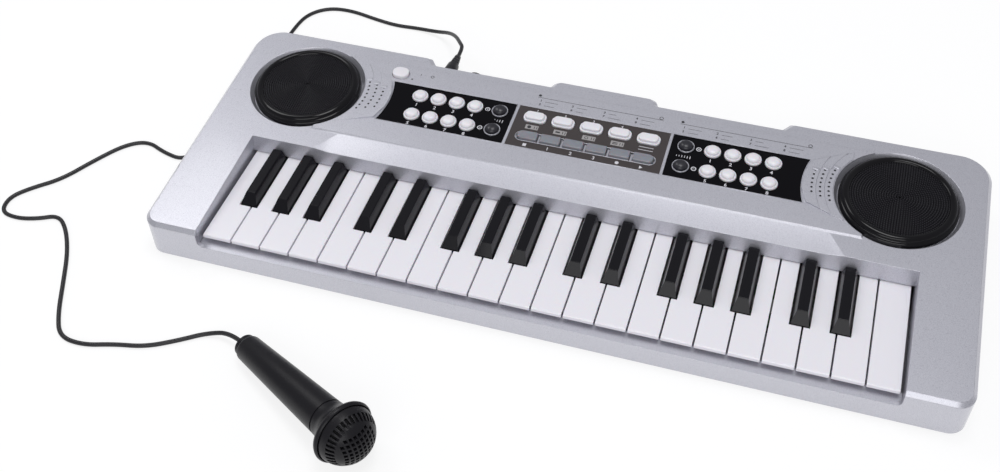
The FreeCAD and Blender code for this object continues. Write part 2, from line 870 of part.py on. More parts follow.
def round_cap(radius, crown_radius, rise):
    stem = stem_bottom()
    top = flange_top()
    low = top - button_flange_height
    wide = radius + button_flange
    narrow = radius / 2
    arc_rise = rise / 3
    profile = [(0, stem), (narrow, stem), (narrow, low), (wide, low), (wide, top), (radius, top),
               (radius, arc_rise), (crown_radius, 2 * arc_rise), (crown_radius / 2, rise - arc_rise / 5),
               (0, rise)]
    return revolve_profile(profile)


def bar_cap(length, width, corner, taper, rise):
    top = flange_top()
    low = top - button_flange_height
    gap = 2 * button_flange
    lower = rounded_wire(length, width, corner, rise / 3)
    upper = rounded_wire(length - 2 * taper, width - 2 * taper, corner - taper, rise)
    crown = Part.makeLoft([lower, upper], True)
    body = slot_prism(length, width, corner, 0, 0, low, rise / 3)
    flange = slot_prism(length + gap, width + gap, corner, 0, 0, low, top)
    stem = slot_prism(length / 2, width / 2, width / 8, 0, 0, stem_bottom(), low)
    return fuse_all([crown, body, flange, stem])


def rounded_wire(length, width, corner, z):
    a = length / 2
    b = width / 2
    face = rounded_face([(-a, -b, corner), (a, -b, corner), (a, b, corner), (-a, b, corner)])
    face.translate(V(0, 0, z))
    return face.OuterWire


# Keys

def white_left(index):
    return (index - white_count / 2) * key_pitch + white_gap / 2


def black_share(gap):
    return black_offset_shares[(gap - 1) % len(black_offset_shares)]


black_gaps = [gap for gap in range(1, white_count) if black_share(gap) is not None]


def black_centre(gap):
    return (gap - white_count / 2) * key_pitch + black_share(gap) * key_pitch


def pivot_groove(x0, x1):
    """Round groove under a key's tail, which rocks on the rail"""
    return Part.makeCylinder(pivot_radius + running_gap, x1 - x0, V(x0, pivot_y, pivot_z), V(1, 0, 0))


def key_pockets(x0, x1):
    """Hollows under a key, parted by the web that presses its contact"""
    bottom = key_top - white_skirt - overrun
    front = black_front + white_shell
    ceiling = key_top - white_shell
    return [box(x0 + white_shell, x1 - white_shell, front, contact_y - key_web / 2, bottom, ceiling),
            box(x0 + white_shell, x1 - white_shell, contact_y + key_web / 2, well_rear, bottom, ceiling)]


def white_key(index):
    x0 = white_left(index)
    x1 = x0 + key_pitch - white_gap
    bottom = key_top - white_skirt
    rear = pivot_y + tail_length
    profile = [(white_front, key_top - white_lip), (white_skirt_start, key_top - white_lip),
               (white_skirt_start, bottom), (rear, bottom), (rear, key_top), (white_front, key_top)]
    key = side_prism(profile, x0, x1)
    nose = [edge for edge in key.Edges if lies_along_x(edge, white_front, key_top)]
    key = key.makeFillet(white_nose_radius, nose)
    cuts = []
    tail0 = x0
    tail1 = x1
    half_slot = black_base / 2 + black_slot_gap
    notch = black_front - black_slot_gap
    for gap in (index, index + 1):
        if gap in black_gaps:
            centre = black_centre(gap)
            cuts.append(box(centre - half_slot, centre + half_slot, notch, rear + overrun,
                            bottom - overrun, key_top + overrun))
            if gap == index:
                tail0 = centre + half_slot
            else:
                tail1 = centre - half_slot
    cuts.append(box(x0 + white_shell, x1 - white_shell, white_skirt_start + white_shell, notch - white_shell,
                    bottom - overrun, key_top - white_shell))
    return key.cut(Part.Compound(cuts + key_pockets(tail0, tail1) + [pivot_groove(x0, x1)]))


def black_key(gap):
    centre = black_centre(gap)
    bottom = key_top - white_skirt
    top = key_top + black_rise
    rear = well_rear - black_end_gap
    a = black_base / 2
    b = black_crown / 2
    nose = black_front + black_nose_slant
    lower = [V(centre - a, black_front, key_top), V(centre + a, black_front, key_top),
             V(centre + a, rear, key_top), V(centre - a, rear, key_top)]
    upper = [V(centre - b, nose, top), V(centre + b, nose, top), V(centre + b, rear, top),
             V(centre - b, rear, top)]
    crown = Part.makeLoft([Part.makePolygon(corners + [corners[0]]) for corners in (lower, upper)], True,
                          True)
    ridge = [edge for edge in crown.Edges
             if edge.CenterOfMass.z > top - running_gap and edge.CenterOfMass.y < rear - running_gap]
    crown = crown.makeFillet(black_edge_radius, ridge)
    body = box(centre - a, centre + a, black_front, pivot_y + tail_length, bottom, key_top)
    cuts = key_pockets(centre - a, centre + a) + [pivot_groove(centre - a, centre + a)]
    return fuse_all([crown, body.cut(Part.Compound(cuts))])


# Board with the key contacts, the rubber contact strip on it, and the main board

def key_board():
    y0 = contact_y - key_board_width / 2
    a = well_half - key_board_margin
    return box(-a, a, y0, y0 + key_board_width, key_board_top - board_thickness, key_board_top)


def main_board():
    board = box(-main_board_half, main_board_half, main_board_front, main_board_rear, case_bottom,
                top_height(half_depth))
    under = cover_plate + board_drop
    return board.common(sloped_slab(under + board_thickness, -under))


def contact_strip():
    a = well_half - key_board_margin
    y0 = contact_y - contact_width / 2
    strip = [box(-a, a, y0, y0 + contact_width, key_board_top, key_board_top + contact_base)]
    centres = [white_left(i) + (key_pitch - white_gap) / 2 for i in range(white_count)]
    for x in centres:
        strip.append(contact_dome(x, contact_y - contact_stagger))
    for gap in black_gaps:
        strip.append(contact_dome(black_centre(gap), contact_y + contact_stagger))
    return fuse_all(strip)


def button_mat():
    """Rubber sheet with the panel buttons' contacts, on the main board"""
    mat = box(-panel_mat_half, panel_mat_half, panel_mat_front, panel_mat_rear, case_bottom,
              top_height(half_depth))
    under = cover_plate + board_drop
    return mat.common(sloped_slab(under, panel_mat - under))


def contact_dome(x, y):
    return Part.makeCone(contact_dome_radius, contact_crown_radius, contact_dome_height,
                         V(x, y, key_board_top + contact_base / 2))


# Sockets in the rear wall

def rear_sockets():
    sockets = []
    for x in socket_places():
        face = V(x, recess_rear + socket_nose, socket_height)
        back = V(0, -1, 0)
        # The nose has the bore that guides a plug, and the wider cavity behind it has room for springs
        collar = socket_nose - socket_collar_step
        depth = socket_nose + socket_length - socket_end
        barrel = Part.makeCylinder(socket_radius, socket_nose + socket_length, face, back)
        nose = Part.makeCylinder(socket_nose_radius, socket_nose, face, back)
        bore = Part.makeCylinder(socket_bore_radius, collar, face, back)
        cavity = Part.makeCylinder(socket_cavity_radius, depth - collar, face + back * collar, back)
        sockets.append(barrel.fuse(nose).cut(bore).cut(cavity).removeSplitter())
    return sockets


# Battery door, screws and feet

def battery_door():
    door = bay_box(door_seat, case_bottom, case_bottom + door_thickness)
    end = door_x + bay_length / 2
    ribs = []
    for i in range(door_grip_count):
        y = door_y + (i - (door_grip_count - 1) / 2) * door_grip_pitch
        ribs.append(box(end - door_grip_length, end, y - door_grip_width / 2, y + door_grip_width / 2,
                        case_bottom, case_bottom + door_grip_depth))
    return door.cut(Part.Compound(ribs))


def case_screws():
    screws = []
    for x, y in screw_places():
        top = case_bottom + screw_recess - running_gap / 3
        head = cylinder(screw_head_radius, screw_head_height, x, y, top - screw_head_height)
        shank = cylinder(screw_shank_radius, screw_length + screw_head_height / 2, x, y,
                         top - screw_head_height / 2)
        screws.append(head.fuse(shank).removeSplitter())
    return screws


def rubber_feet():
    feet = []
    for x, y in foot_places():
        profile = [(0, 0), (foot_radius - foot_edge, 0), (foot_radius, foot_edge),
                   (foot_radius, case_bottom + foot_sink), (0, case_bottom + foot_sink)]
        foot = revolve_profile(profile)
        foot.translate(V(x, y, 0))
        feet.append(foot)
    return feet


# Microphone, lying with its tail and its collar on the table

mic_tilt = math.atan((mic_collar_radius - mic_tail_radius) / mic_collar_station)
mic_tail_z = mic_tail_radius * math.cos(mic_tilt)
mic_heading = math.radians(mic_heading_degrees)
mic_axis = V(math.cos(mic_tilt) * math.cos(mic_heading), math.cos(mic_tilt) * math.sin(mic_heading),
             math.sin(mic_tilt))
mic_tail = V(mic_tail_x, mic_tail_y, mic_tail_z)


def on_mic(shape):
    """Set a shape made about Z, with the tail's end at z = 0, on the lying microphone's axis"""
    placed = shape.copy()
    placed.rotate(V(0, 0, 0), V(0, 1, 0), 90 - math.degrees(mic_tilt))
    placed.rotate(V(0, 0, 0), V(0, 0, 1), mic_heading_degrees)
    placed.translate(mic_tail)
    return placed


def mic_handle():
    low = mic_collar_station - mic_bore_depth
    top = mic_collar_station + mic_collar_width / 2
    profile = [(0, 0), (mic_tail_step_radius, 0), (mic_tail_step_radius, mic_tail_step),
               (mic_tail_radius - mic_step_depth, mic_tail_step),
               (mic_tail_radius, mic_tail_step + mic_tail_edge), (mic_neck_radius, mic_neck_station),
               (mic_neck_radius - mic_step_depth, mic_neck_station),
               (mic_neck_radius - mic_step_depth, mic_neck_station + mic_step_width),
               (mic_collar_waist_radius, mic_neck_station + 2 * mic_step_width),
               (mic_collar_waist_radius, mic_waist_station)]
    rim_radius = mic_collar_radius - mic_step_depth
    rim_station = mic_collar_station - mic_collar_width / 2
    for rise, widening in mic_flare_shares:
        profile.append((mic_collar_waist_radius + widening * (rim_radius - mic_collar_waist_radius),
                        mic_waist_station + rise * (rim_station - mic_waist_station)))
    profile += [(rim_radius, rim_station), (mic_collar_radius, mic_collar_station), (rim_radius, top),
                (mic_dome_radius + running_gap, top),
                (mic_bore_radius, mic_collar_station - mic_collar_width / 2),
                (mic_collar_waist_radius - mic_dome_wall, low), (0, low)]
    return on_mic(revolve_profile(profile))


def mic_grille():
    """Domed shell in the collar's mouth, with square holes and a ring of radial slots along the axis"""
    base = mic_collar_station + mic_collar_width / 2
    outer = dome_solid(mic_dome_radius, mic_dome_height, base)
    inner = dome_solid(mic_dome_radius - mic_dome_wall, mic_dome_height - mic_dome_wall,
                       base - running_gap / 3)
    high = base + mic_dome_height + overrun
    slot_end = mic_dome_radius - mic_slot_margin
    slot_start = slot_end - mic_slot_length
    slot = box(slot_start, slot_end, -mic_slot_width / 2, mic_slot_width / 2, base, high)
    holes = []
    for i in range(mic_slot_count):
        turned = slot.copy()
        turned.rotate(V(0, 0, 0), V(0, 0, 1), i * 360 / mic_slot_count)
        holes.append(turned)
    reach = slot_start - mic_cell_border
    cells = int(reach / mic_cell_pitch) + 1
    for i in range(-cells, cells):
        for j in range(-cells, cells):
            x = (i + 1 / 2) * mic_cell_pitch
            y = (j + 1 / 2) * mic_cell_pitch
            if math.hypot(abs(x) + mic_cell_width / 2, abs(y) + mic_cell_width / 2) < reach:
                holes.append(box(x - mic_cell_width / 2, x + mic_cell_width / 2, y - mic_cell_width / 2,
                                 y + mic_cell_width / 2, base, high))
    return on_mic(outer.cut(inner).cut(Part.Compound(holes)))


def dome_solid(radius, height, base):
    """Half of a flattened ball on a flat base"""
    ball = Part.makeSphere((radius * radius + height * height) / (2 * height))
    ball.translate(V(0, 0, base + height - (radius * radius + height * height) / (2 * height)))
    return ball.common(cylinder(2 * radius, 2 * height, 0, 0, base))


# Plug and cord of the microphone

plug_face = recess_rear + socket_nose + plug_stand_off
plug_end = plug_face + plug_barrel + plug_relief


def mic_plug():
    tip = plug_face - plug_pin_length
    profile = [(0, tip), (plug_pin_radius / 2, tip), (plug_pin_radius, tip + plug_pin_radius),
               (plug_pin_radius, plug_face), (plug_radius, plug_face),
               (plug_radius, plug_face + plug_barrel / 2), (plug_mid_radius, plug_face + plug_barrel),
               (plug_mid_radius - plug_shoulder, plug_face + plug_barrel), (plug_tail_radius, plug_end),
               (0, plug_end)]
    plug = revolve_profile(profile)
    plug.rotate(V(0, 0, 0), V(1, 0, 0), -90)
    plug.translate(V(socket_x, 0, socket_height))
    return plug


def cord_points():
    """Route of the cord from the plug to the microphone's tail, the places chosen by hand"""
    start = V(socket_x, plug_end, socket_height)
    last = mic_tail
    lead = last - mic_axis * cord_lead
    lying = [V(x, y, cord_height) for x, y in cord_lying]
    falling = [V(x, y, z) for x, y, z in cord_falling]
    return [start, start + V(0, cord_first_run, 0)] + falling + lying + [lead, last]


def cord_path(points):
    """Straight runs joined by tangent arcs, each as large as its two runs allow"""
    edges = []
    here = points[0]
    radii = []
    for i in range(1, len(points) - 1):
        back = points[i - 1] - points[i]
        ahead = points[i + 1] - points[i]
        turn = math.pi - back.getAngle(ahead)
        reach = cord_arc_share * min(back.Length, ahead.Length)
        radius = reach / math.tan(turn / 2)
        radii.append(radius)
        a = points[i] + back.normalize() * reach
        b = points[i] + ahead.normalize() * reach
        middle = points[i] + (back + ahead).normalize() * (math.hypot(radius, reach) - radius)
        edges.append(Part.LineSegment(here, a).toShape())
        edges.append(Part.Arc(a, middle, b).toShape())
        here = b
    edges.append(Part.LineSegment(here, points[-1]).toShape())
    wire = Part.Wire(edges)
    return wire, radii


def mic_cord():
    points = cord_points()
    wire, radii = cord_path(points)
    start = points[0]
    normal = (points[1] - points[0]).normalize()
    ring = Part.Wire([Part.Circle(start, normal, cord_radius).toShape()])
    tube = wire.makePipeShell([ring], True, False)
    section = math.pi * cord_radius * cord_radius
    print("cord radii", [round(r, 1) for r in radii], "least", round(min(radii), 1))
    print("cord length", round(wire.Length, 1), "volume share",
          round(tube.Volume / (section * wire.Length), 4))
    return tube


volumes = []
os.makedirs("parts", exist_ok=True)
save("bottom_case", bottom_case())
save("top_cover", top_cover())
for index in range(white_count):
    save("white_key_%02d" % (index + 1), white_key(index))
for number, gap in enumerate(black_gaps):
    save("black_key_%02d" % (number + 1), black_key(gap))
save("speaker_grilles", Part.Compound([speaker_grille(side) for side in (-1, 1)]))
save("speaker_drivers", Part.Compound([speaker_driver(side) for side in (-1, 1)]))
save("side_panels", Part.Compound(side_panels()))
save("centre_panel", centre_panel())
round_button = round_cap(round_button_radius, round_button_crown_radius, round_button_rise)
rocker_button = round_cap(rocker_button_radius, rocker_crown_radius, rocker_button_rise)
pad = bar_cap(pad_length, pad_width, pad_corner, pad_taper, pad_rise)
strip = bar_cap(strip_length, strip_width, strip_corner, strip_taper, strip_rise)
power = bar_cap(power_length, power_width, power_width / 2 - running_gap, pad_taper, power_rise)
save("tone_buttons", Part.Compound([on_deck(round_button, x, y) for x, y in tone_places()]))
save("rhythm_buttons", Part.Compound([on_deck(round_button, x, y) for x, y in rhythm_places()]))
save("volume_buttons", Part.Compound([on_deck(rocker_button, x, y) for x, y in rocker_places() if x < 0]))
save("tempo_buttons", Part.Compound([on_deck(rocker_button, x, y) for x, y in rocker_places() if x > 0]))
save("drum_pads", Part.Compound([on_deck(pad, x, y) for x, y in pad_places()]))
save("mode_buttons", Part.Compound([on_deck(strip, x, y) for x, y in strip_places()]))
save("power_button", on_deck(power, power_x, power_y))
save("circuit_boards", Part.Compound([key_board(), main_board()]))
save("rubber_contacts", Part.Compound([contact_strip(), button_mat()]))
save("rear_sockets", Part.Compound(rear_sockets()))
save("battery_door", battery_door())
save("case_screws", Part.Compound(case_screws()))
save("rubber_feet", Part.Compound(rubber_feet()))
save("mic_handle", mic_handle())
save("mic_grille", mic_grille())
save("mic_plug", mic_plug())
save("mic_cord", mic_cord())
for row in volumes:
    print(*row)
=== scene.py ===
import json
import math

import bpy
from mathutils import Matrix, Vector

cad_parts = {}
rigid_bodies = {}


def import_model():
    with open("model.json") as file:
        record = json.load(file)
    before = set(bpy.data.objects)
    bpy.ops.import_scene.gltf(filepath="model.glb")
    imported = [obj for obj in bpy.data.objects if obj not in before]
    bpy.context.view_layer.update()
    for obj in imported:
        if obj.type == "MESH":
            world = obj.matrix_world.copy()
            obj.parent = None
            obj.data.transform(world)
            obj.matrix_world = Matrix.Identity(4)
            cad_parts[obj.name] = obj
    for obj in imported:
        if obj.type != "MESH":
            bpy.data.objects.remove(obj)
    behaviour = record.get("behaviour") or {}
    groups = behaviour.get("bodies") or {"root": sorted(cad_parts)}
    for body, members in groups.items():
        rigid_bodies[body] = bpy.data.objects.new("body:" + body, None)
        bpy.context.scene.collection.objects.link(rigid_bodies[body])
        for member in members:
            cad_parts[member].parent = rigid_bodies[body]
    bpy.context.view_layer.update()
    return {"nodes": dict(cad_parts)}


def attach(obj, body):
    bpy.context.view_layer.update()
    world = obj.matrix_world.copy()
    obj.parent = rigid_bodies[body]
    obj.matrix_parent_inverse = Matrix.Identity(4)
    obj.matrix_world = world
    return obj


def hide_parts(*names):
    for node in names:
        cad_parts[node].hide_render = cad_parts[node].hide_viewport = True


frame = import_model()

MM = 0.001


# Camera
# It stands in front of the keyboard and to its right, looking down on it by 47 degrees.
bpy.ops.object.camera_add()
camera = bpy.context.object
camera.name = "camera"
camera.data.sensor_width = 36.0
camera.data.lens = 43.92
camera_place = Vector((108.70, -454.06, 486.67))
right = Vector((0.955452, 0.294720, -0.015836))
down = Vector((0.203916, -0.697963, -0.686488))
ahead = Vector((-0.213375, 0.652677, -0.726969))
camera_turn = Matrix((right, -down, -ahead)).transposed()
camera.matrix_world = Matrix.Translation(camera_place * MM) @ camera_turn.to_4x4()
camera.data.clip_start = 0.01
camera.data.clip_end = 10.0
bpy.context.scene.camera = camera


# Microphone cord
# A limp round lead with a soft black vinyl jacket, extruded over its wires. It leaves the plug behind the
# case, drops to the table, and wanders round the left end to the microphone.
def linear(code):
    """An sRGB hex colour as the linear colour that a shader takes."""
    shares = [int(code[i:i + 2], 16) / 255 for i in (1, 3, 5)]
    return [c / 12.92 if c <= 0.04045 else ((c + 0.055) / 1.055) ** 2.4 for c in shares] + [1.0]


def add(tree, kind, values=None, **settings):
    """Add a shader node, with input values or links by name and its settings."""
    made = tree.nodes.new("ShaderNode" + kind)
    for name, value in settings.items():
        setattr(made, name, value)
    for name, value in (values or {}).items():
        if isinstance(value, bpy.types.NodeSocket):
            tree.links.new(value, made.inputs[name])
        else:
            made.inputs[name].default_value = value
    return made


def new_finish(name):
    """An empty material and its node tree."""
    finish = bpy.data.materials.new(name)
    finish.use_nodes = True
    finish.node_tree.nodes.clear()
    return finish, finish.node_tree


def close(tree, shader):
    """End a material with its surface shader."""
    add(tree, "OutputMaterial", {"Surface": shader.outputs[0]})


# Vinyl, extruded: soft sheen, and a faint drawn grain
cord_vinyl, tree = new_finish("black_vinyl_extruded")
place = add(tree, "TexCoord").outputs["Object"]
grain = add(tree, "TexNoise", {"Vector": place, "Scale": 1000 / 0.8, "Detail": 2.0})
relief = add(tree, "Bump", {"Height": grain.outputs["Fac"], "Strength": 0.15, "Distance": 0.05 * MM})
close(tree, add(tree, "BsdfPrincipled", {
    "Base Color": linear("#1a191d"), "Roughness": 0.42, "IOR": 1.53, "Normal": relief.outputs["Normal"]}))

cord_radius = 1.2
plug_x, plug_height = -96.0, 23.0
plug_end = Vector((plug_x, 98.3, plug_height))
straight_at_plug, straight_at_mic = 9.0, 12.0
# The microphone lies on the rim of its collar and on its tail
mic_tail_radius, mic_rim_radius, mic_rim_height = 7.0, 16.4, 82.0
mic_heading = math.radians(-29.7)
mic_tilt = math.atan((mic_rim_radius - mic_tail_radius) / mic_rim_height)
mic_axis = Vector((math.cos(mic_tilt) * math.cos(mic_heading), math.cos(mic_tilt) * math.sin(mic_heading),
                   math.sin(mic_tilt)))
mic_tail = Vector((-133.1, -130.7, mic_tail_radius * math.cos(mic_tilt)))
falling = [(-99.5, 113.0, 21.5), (-106.5, 125.0, 16.5), (-115.0, 136.0, 9.5), (-126.0, 142.5, 3.2)]
lying = [(-141.0, 145.0), (-155.0, 144.0), (-170.0, 146.5), (-189.0, 151.0), (-205.0, 149.5),
         (-216.0, 139.0), (-218.5, 122.0), (-218.0, 95.0), (-219.5, 62.0), (-219.0, 32.0), (-221.0, 6.0),
         (-229.0, -12.0), (-244.0, -9.0), (-257.0, -3.0), (-269.0, -9.5), (-280.0, -27.0), (-290.0, -46.0),
         (-303.0, -57.5), (-311.0, -67.5), (-309.0, -79.0), (-297.5, -81.0), (-286.0, -78.0),
         (-276.0, -72.5), (-266.5, -80.5), (-256.0, -96.5), (-247.0, -116.0), (-238.0, -136.0),
         (-229.5, -149.0), (-215.0, -150.5), (-200.0, -145.5), (-184.0, -142.5), (-169.5, -134.0),
         (-157.5, -125.5)]
route = [plug_end, plug_end + Vector((0, straight_at_plug, 0))] + [Vector(point) for point in falling]
route += [Vector((x, y, cord_radius)) for x, y in lying] + [mic_tail - straight_at_mic * mic_axis, mic_tail]
curve = bpy.data.curves.new("microphone_cord", "CURVE")
curve.dimensions = "3D"
curve.bevel_depth = cord_radius * MM
curve.bevel_resolution = 5
curve.resolution_u = 10
curve.use_fill_caps = True
spline = curve.splines.new("NURBS")
spline.points.add(len(route) - 1)
for point, at in zip(spline.points, route):
    point.co = (*(at * MM), 1.0)
spline.order_u = 3
spline.use_endpoint_u = True
cord = bpy.data.objects.new("microphone_cord", curve)
bpy.context.scene.collection.objects.link(cord)
cord.data.materials.append(cord_vinyl)
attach(cord, "case")
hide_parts("mic_cord")


# Plug of the cord
# A moulded black barrel with a stepped strain relief that thins towards the cord, round a metal pin that is
# pushed into the rear socket. The vinyl is moulded over the joint of pin and wires.
def turned(name, profile, sides=64):
    """A closed body turned about Z, drawn ring by ring from (radius, height) points in millimetres."""
    bpy.ops.object.select_all(action="DESELECT")
    radius, height = profile[0]
    bpy.ops.mesh.primitive_circle_add(vertices=sides, radius=radius * MM, location=(0, 0, height * MM))
    piece = bpy.context.object
    piece.name = name
    bpy.ops.object.transform_apply(location=True, rotation=True, scale=True)
    bpy.ops.object.mode_set(mode="EDIT")
    bpy.ops.mesh.select_all(action="SELECT")
    bpy.ops.mesh.edge_face_add()
    for wide, high in profile[1:]:
        share = wide / radius
        bpy.ops.mesh.extrude_region_move(TRANSFORM_OT_translate={"value": (0, 0, (high - height) * MM)})
        bpy.ops.transform.resize(value=(share, share, 1), center_override=(0, 0, high * MM))
        radius, height = wide, high
    bpy.ops.mesh.select_all(action="SELECT")
    bpy.ops.mesh.normals_make_consistent(inside=False)
    bpy.ops.object.mode_set(mode="OBJECT")
    bpy.ops.object.shade_smooth_by_angle(angle=math.radians(35))
    return piece


def put(piece, matrix):
    """Move a piece's mesh to its place. Its object stays at the origin."""
    piece.data.transform(matrix)
    piece.data.update()
    return piece


def fit(piece, body, finish, slot, *nodes):
    """Give a piece its finish, its body and the CAD nodes that it stands for."""
    piece.data.materials.clear()
    piece.data.materials.append(finish)
    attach(piece, body)
    if nodes:
        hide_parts(*nodes)


plug_face = 81.5
plug_place = Matrix.Translation(Vector((plug_x, plug_face, plug_height)) * MM)
plug_place @= Matrix.Rotation(math.radians(-90), 4, "X")
barrel = turned("plug_barrel", [
    (3.2, 0), (3.7, 0.3), (3.9, 0.8), (3.9, 3.6), (3.8, 4.2), (3.5, 7.3), (3.4, 7.8), (3.1, 8.0),
    (2.8, 8.1), (2.7, 8.9), (2.35, 9.1), (2.35, 9.8), (2.6, 10.0), (2.5, 11.1), (2.2, 11.3), (2.15, 12.0),
    (2.4, 12.2), (2.25, 13.3), (2.0, 13.5), (1.95, 14.2), (2.1, 14.4), (1.9, 16.4), (1.6, 16.8)], 40)
put(barrel, plug_place)
# Vinyl moulded over the joint: darker and glossier than the cord, with the mould's fine matt texture
plug_vinyl, tree = new_finish("black_vinyl_moulded")
place = add(tree, "TexCoord").outputs["Object"]
grain = add(tree, "TexNoise", {"Vector": place, "Scale": 1000 / 0.5, "Detail": 3.0})
relief = add(tree, "Bump", {"Height": grain.outputs["Fac"], "Strength": 0.2, "Distance": 0.04 * MM})
close(tree, add(tree, "BsdfPrincipled", {
    "Base Color": linear("#151418"), "Roughness": 0.36, "IOR": 1.53, "Normal": relief.outputs["Normal"]}))
fit(barrel, "case", plug_vinyl, "plug_plastic")
pin = turned("plug_pin", [
    (0.9, -13.0), (1.6, -12.0), (1.2, -11.0), (1.75, -10.4), (1.75, -8.2), (1.55, -8.1), (1.55, -7.8),
    (1.75, -7.7), (1.75, 0.0)], 32)
put(pin, plug_place)
# Nickel-plated brass, turned and polished
nickel, tree = new_finish("nickel_plate_polished")
close(tree, add(tree, "BsdfPrincipled", {
    "Base Color": linear("#c9c4ba"), "Metallic": 1.0, "Roughness": 0.18}))
fit(pin, "case", nickel, "plug_plastic")
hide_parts("mic_plug")
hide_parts("mic_plug")


# Lower case
# A moulded ABS tray, sprayed with silver paint. Its front wall drops to a ledge below the keys, and its
# edges are a little rounded by the mould.
def dressed(name, rounding=0.0, steps=2, smooth=32.0):
    """A copy of a CAD node with its seams merged and its edges past 30 degrees rounded, in millimetres."""
    bpy.ops.object.select_all(action="DESELECT")
    piece = bpy.data.objects.new(name + "_moulding", frame["nodes"][name].data.copy())
    bpy.context.scene.collection.objects.link(piece)
    bpy.context.view_layer.objects.active = piece
    piece.select_set(True)
    bpy.ops.object.mode_set(mode="EDIT")
    bpy.ops.mesh.select_all(action="SELECT")
    bpy.ops.mesh.remove_doubles(threshold=0.004 * MM)
    bpy.ops.mesh.dissolve_limited(angle_limit=math.radians(0.5))
    bpy.ops.object.mode_set(mode="OBJECT")
    if rounding:
        bevel = piece.modifiers.new("rounded_edges", "BEVEL")
        bevel.width = rounding * MM
        bevel.segments = steps
        bevel.limit_method = "ANGLE"
        bevel.angle_limit = math.radians(30)
        bevel.use_clamp_overlap = True
        bpy.ops.object.modifier_apply(modifier=bevel.name)
    bpy.ops.object.shade_smooth_by_angle(angle=math.radians(smooth))
    level = piece.modifiers.new("flat_faces", "WEIGHTED_NORMAL")
    level.keep_sharp = True
    level.weight = 90
    bpy.ops.object.modifier_apply(modifier=level.name)
    return piece


# Silver paint on ABS, sprayed: fine aluminium flakes under a clear coat, so it is part metal and part haze.
# The flakes are drawn 0.35 mm across, coarser than real ones, to show at all. Paint rounds every edge.
silver, tree = new_finish("silver_paint_on_abs")
place = add(tree, "TexCoord").outputs["Object"]
soft = add(tree, "Bevel", {"Radius": 0.45 * MM}, samples=4)
flakes = add(tree, "TexVoronoi", {"Vector": place, "Scale": 1000 / 0.35}, feature="F1")
haze = add(tree, "TexNoise", {"Vector": place, "Scale": 1000 / 60, "Detail": 3.0, "Roughness": 0.6})
spread = add(tree, "MapRange", {"Value": haze.outputs["Fac"], "To Min": 0.38, "To Max": 0.44})
ramp = add(tree, "ValToRGB", {"Fac": flakes.outputs["Distance"]})
ramp.color_ramp.elements[0].color = linear("#dcdce3")
ramp.color_ramp.elements[1].color = linear("#b4b4be")
relief = add(tree, "Bump", {"Height": flakes.outputs["Distance"], "Strength": 0.06, "Distance": 0.03 * MM,
                            "Normal": soft.outputs["Normal"]})
close(tree, add(tree, "BsdfPrincipled", {
    "Base Color": ramp.outputs["Color"], "Metallic": 0.7, "Roughness": spread.outputs["Result"],
    "Coat Weight": 0.7, "Coat Roughness": 0.12, "Normal": relief.outputs["Normal"],
    "Coat Normal": soft.outputs["Normal"]}))
fit(dressed("bottom_case", 0.35), "case", silver, "silver_plastic", "bottom_case")


# Upper cover
# The same silver-painted ABS: a sloping plate with a bevelled rim, the key well, a raised control platform
# with a fan of stepped tiers beside each speaker, and the two round dishes that hold the speakers.
button_rows = (46.8, 31.6)
dark_x = 53.4


def narrow(piece, old, new):
    """Draw the rings of one radius round the four dark buttons in to another, in millimetres."""
    tolerance = 0.12
    for vertex in piece.data.vertices:
        for x in (-dark_x, dark_x):
            for y in button_rows:
                away = Vector((vertex.co.x - x * MM, vertex.co.y - y * MM))
                if abs(away.length - old * MM) < tolerance * MM:
                    away *= new / old
                    vertex.co.x = x * MM + away.x
                    vertex.co.y = y * MM + away.y


cover = dressed("top_cover", smooth=14.0)
narrow(cover, old=5.4, new=4.65)
fit(cover, "case", silver, "silver_plastic", "top_cover")


# White keys
# Glossy ivory-white ABS, each moulded in one piece with a thin front lip and notches for the black keys. They
# rock on a rail below their tails.
# ABS, moulded against a polished tool: bright, with a very slight waviness
white_gloss, tree = new_finish("white_abs_polished")
place = add(tree, "TexCoord").outputs["Object"]
waves = add(tree, "TexNoise", {"Vector": place, "Scale": 1000 / 9, "Detail": 1.0})
relief = add(tree, "Bump", {"Height": waves.outputs["Fac"], "Strength": 0.04, "Distance": 0.2 * MM})
close(tree, add(tree, "BsdfPrincipled", {
    "Base Color": linear("#f6f4fa"), "Roughness": 0.22, "IOR": 1.54, "Subsurface Weight": 0.05,
    "Subsurface Scale": 1.5 * MM, "Normal": relief.outputs["Normal"]}))
for number in range(1, 23):
    name = "white_key_%02d" % number
    fit(dressed(name, 0.3), name, white_gloss, "white_key", name)


# Black keys
# Glossy black ABS blocks that taper to a narrow crown, with a slanting nose. Each is moulded in one piece and
# rocks on the same rail as the white keys.
# ABS, moulded and lightly polished: deep black with a soft wide highlight
black_gloss, tree = new_finish("black_abs_polished")
place = add(tree, "TexCoord").outputs["Object"]
waves = add(tree, "TexNoise", {"Vector": place, "Scale": 1000 / 4, "Detail": 2.0})
relief = add(tree, "Bump", {"Height": waves.outputs["Fac"], "Strength": 0.05, "Distance": 0.15 * MM})
close(tree, add(tree, "BsdfPrincipled", {
    "Base Color": linear("#0c0b11"), "Roughness": 0.26, "IOR": 1.54, "Specular IOR Level": 0.15,
    "Coat Weight": 0.15, "Coat Roughness": 0.05, "Normal": relief.outputs["Normal"]}))
for number in range(1, 16):
    name = "black_key_%02d" % number
    fit(dressed(name, 0.35, 3), name, black_gloss, "black_key", name)


# Speakers
# A glossy black moulded ring clamps a black perforated face over each driver, in a round dish of the cover.
# The holes lie in rings.
half_depth = 81.4
front_height = 23.4
climb = 0.0625
tilt = Matrix.Rotation(math.atan(climb), 4, "X")


def top_height(y):
    """Height of the cover's sloping top, in millimetres."""
    return front_height + climb * (y + half_depth)


speaker_x, speaker_y = 168.3, 39.0


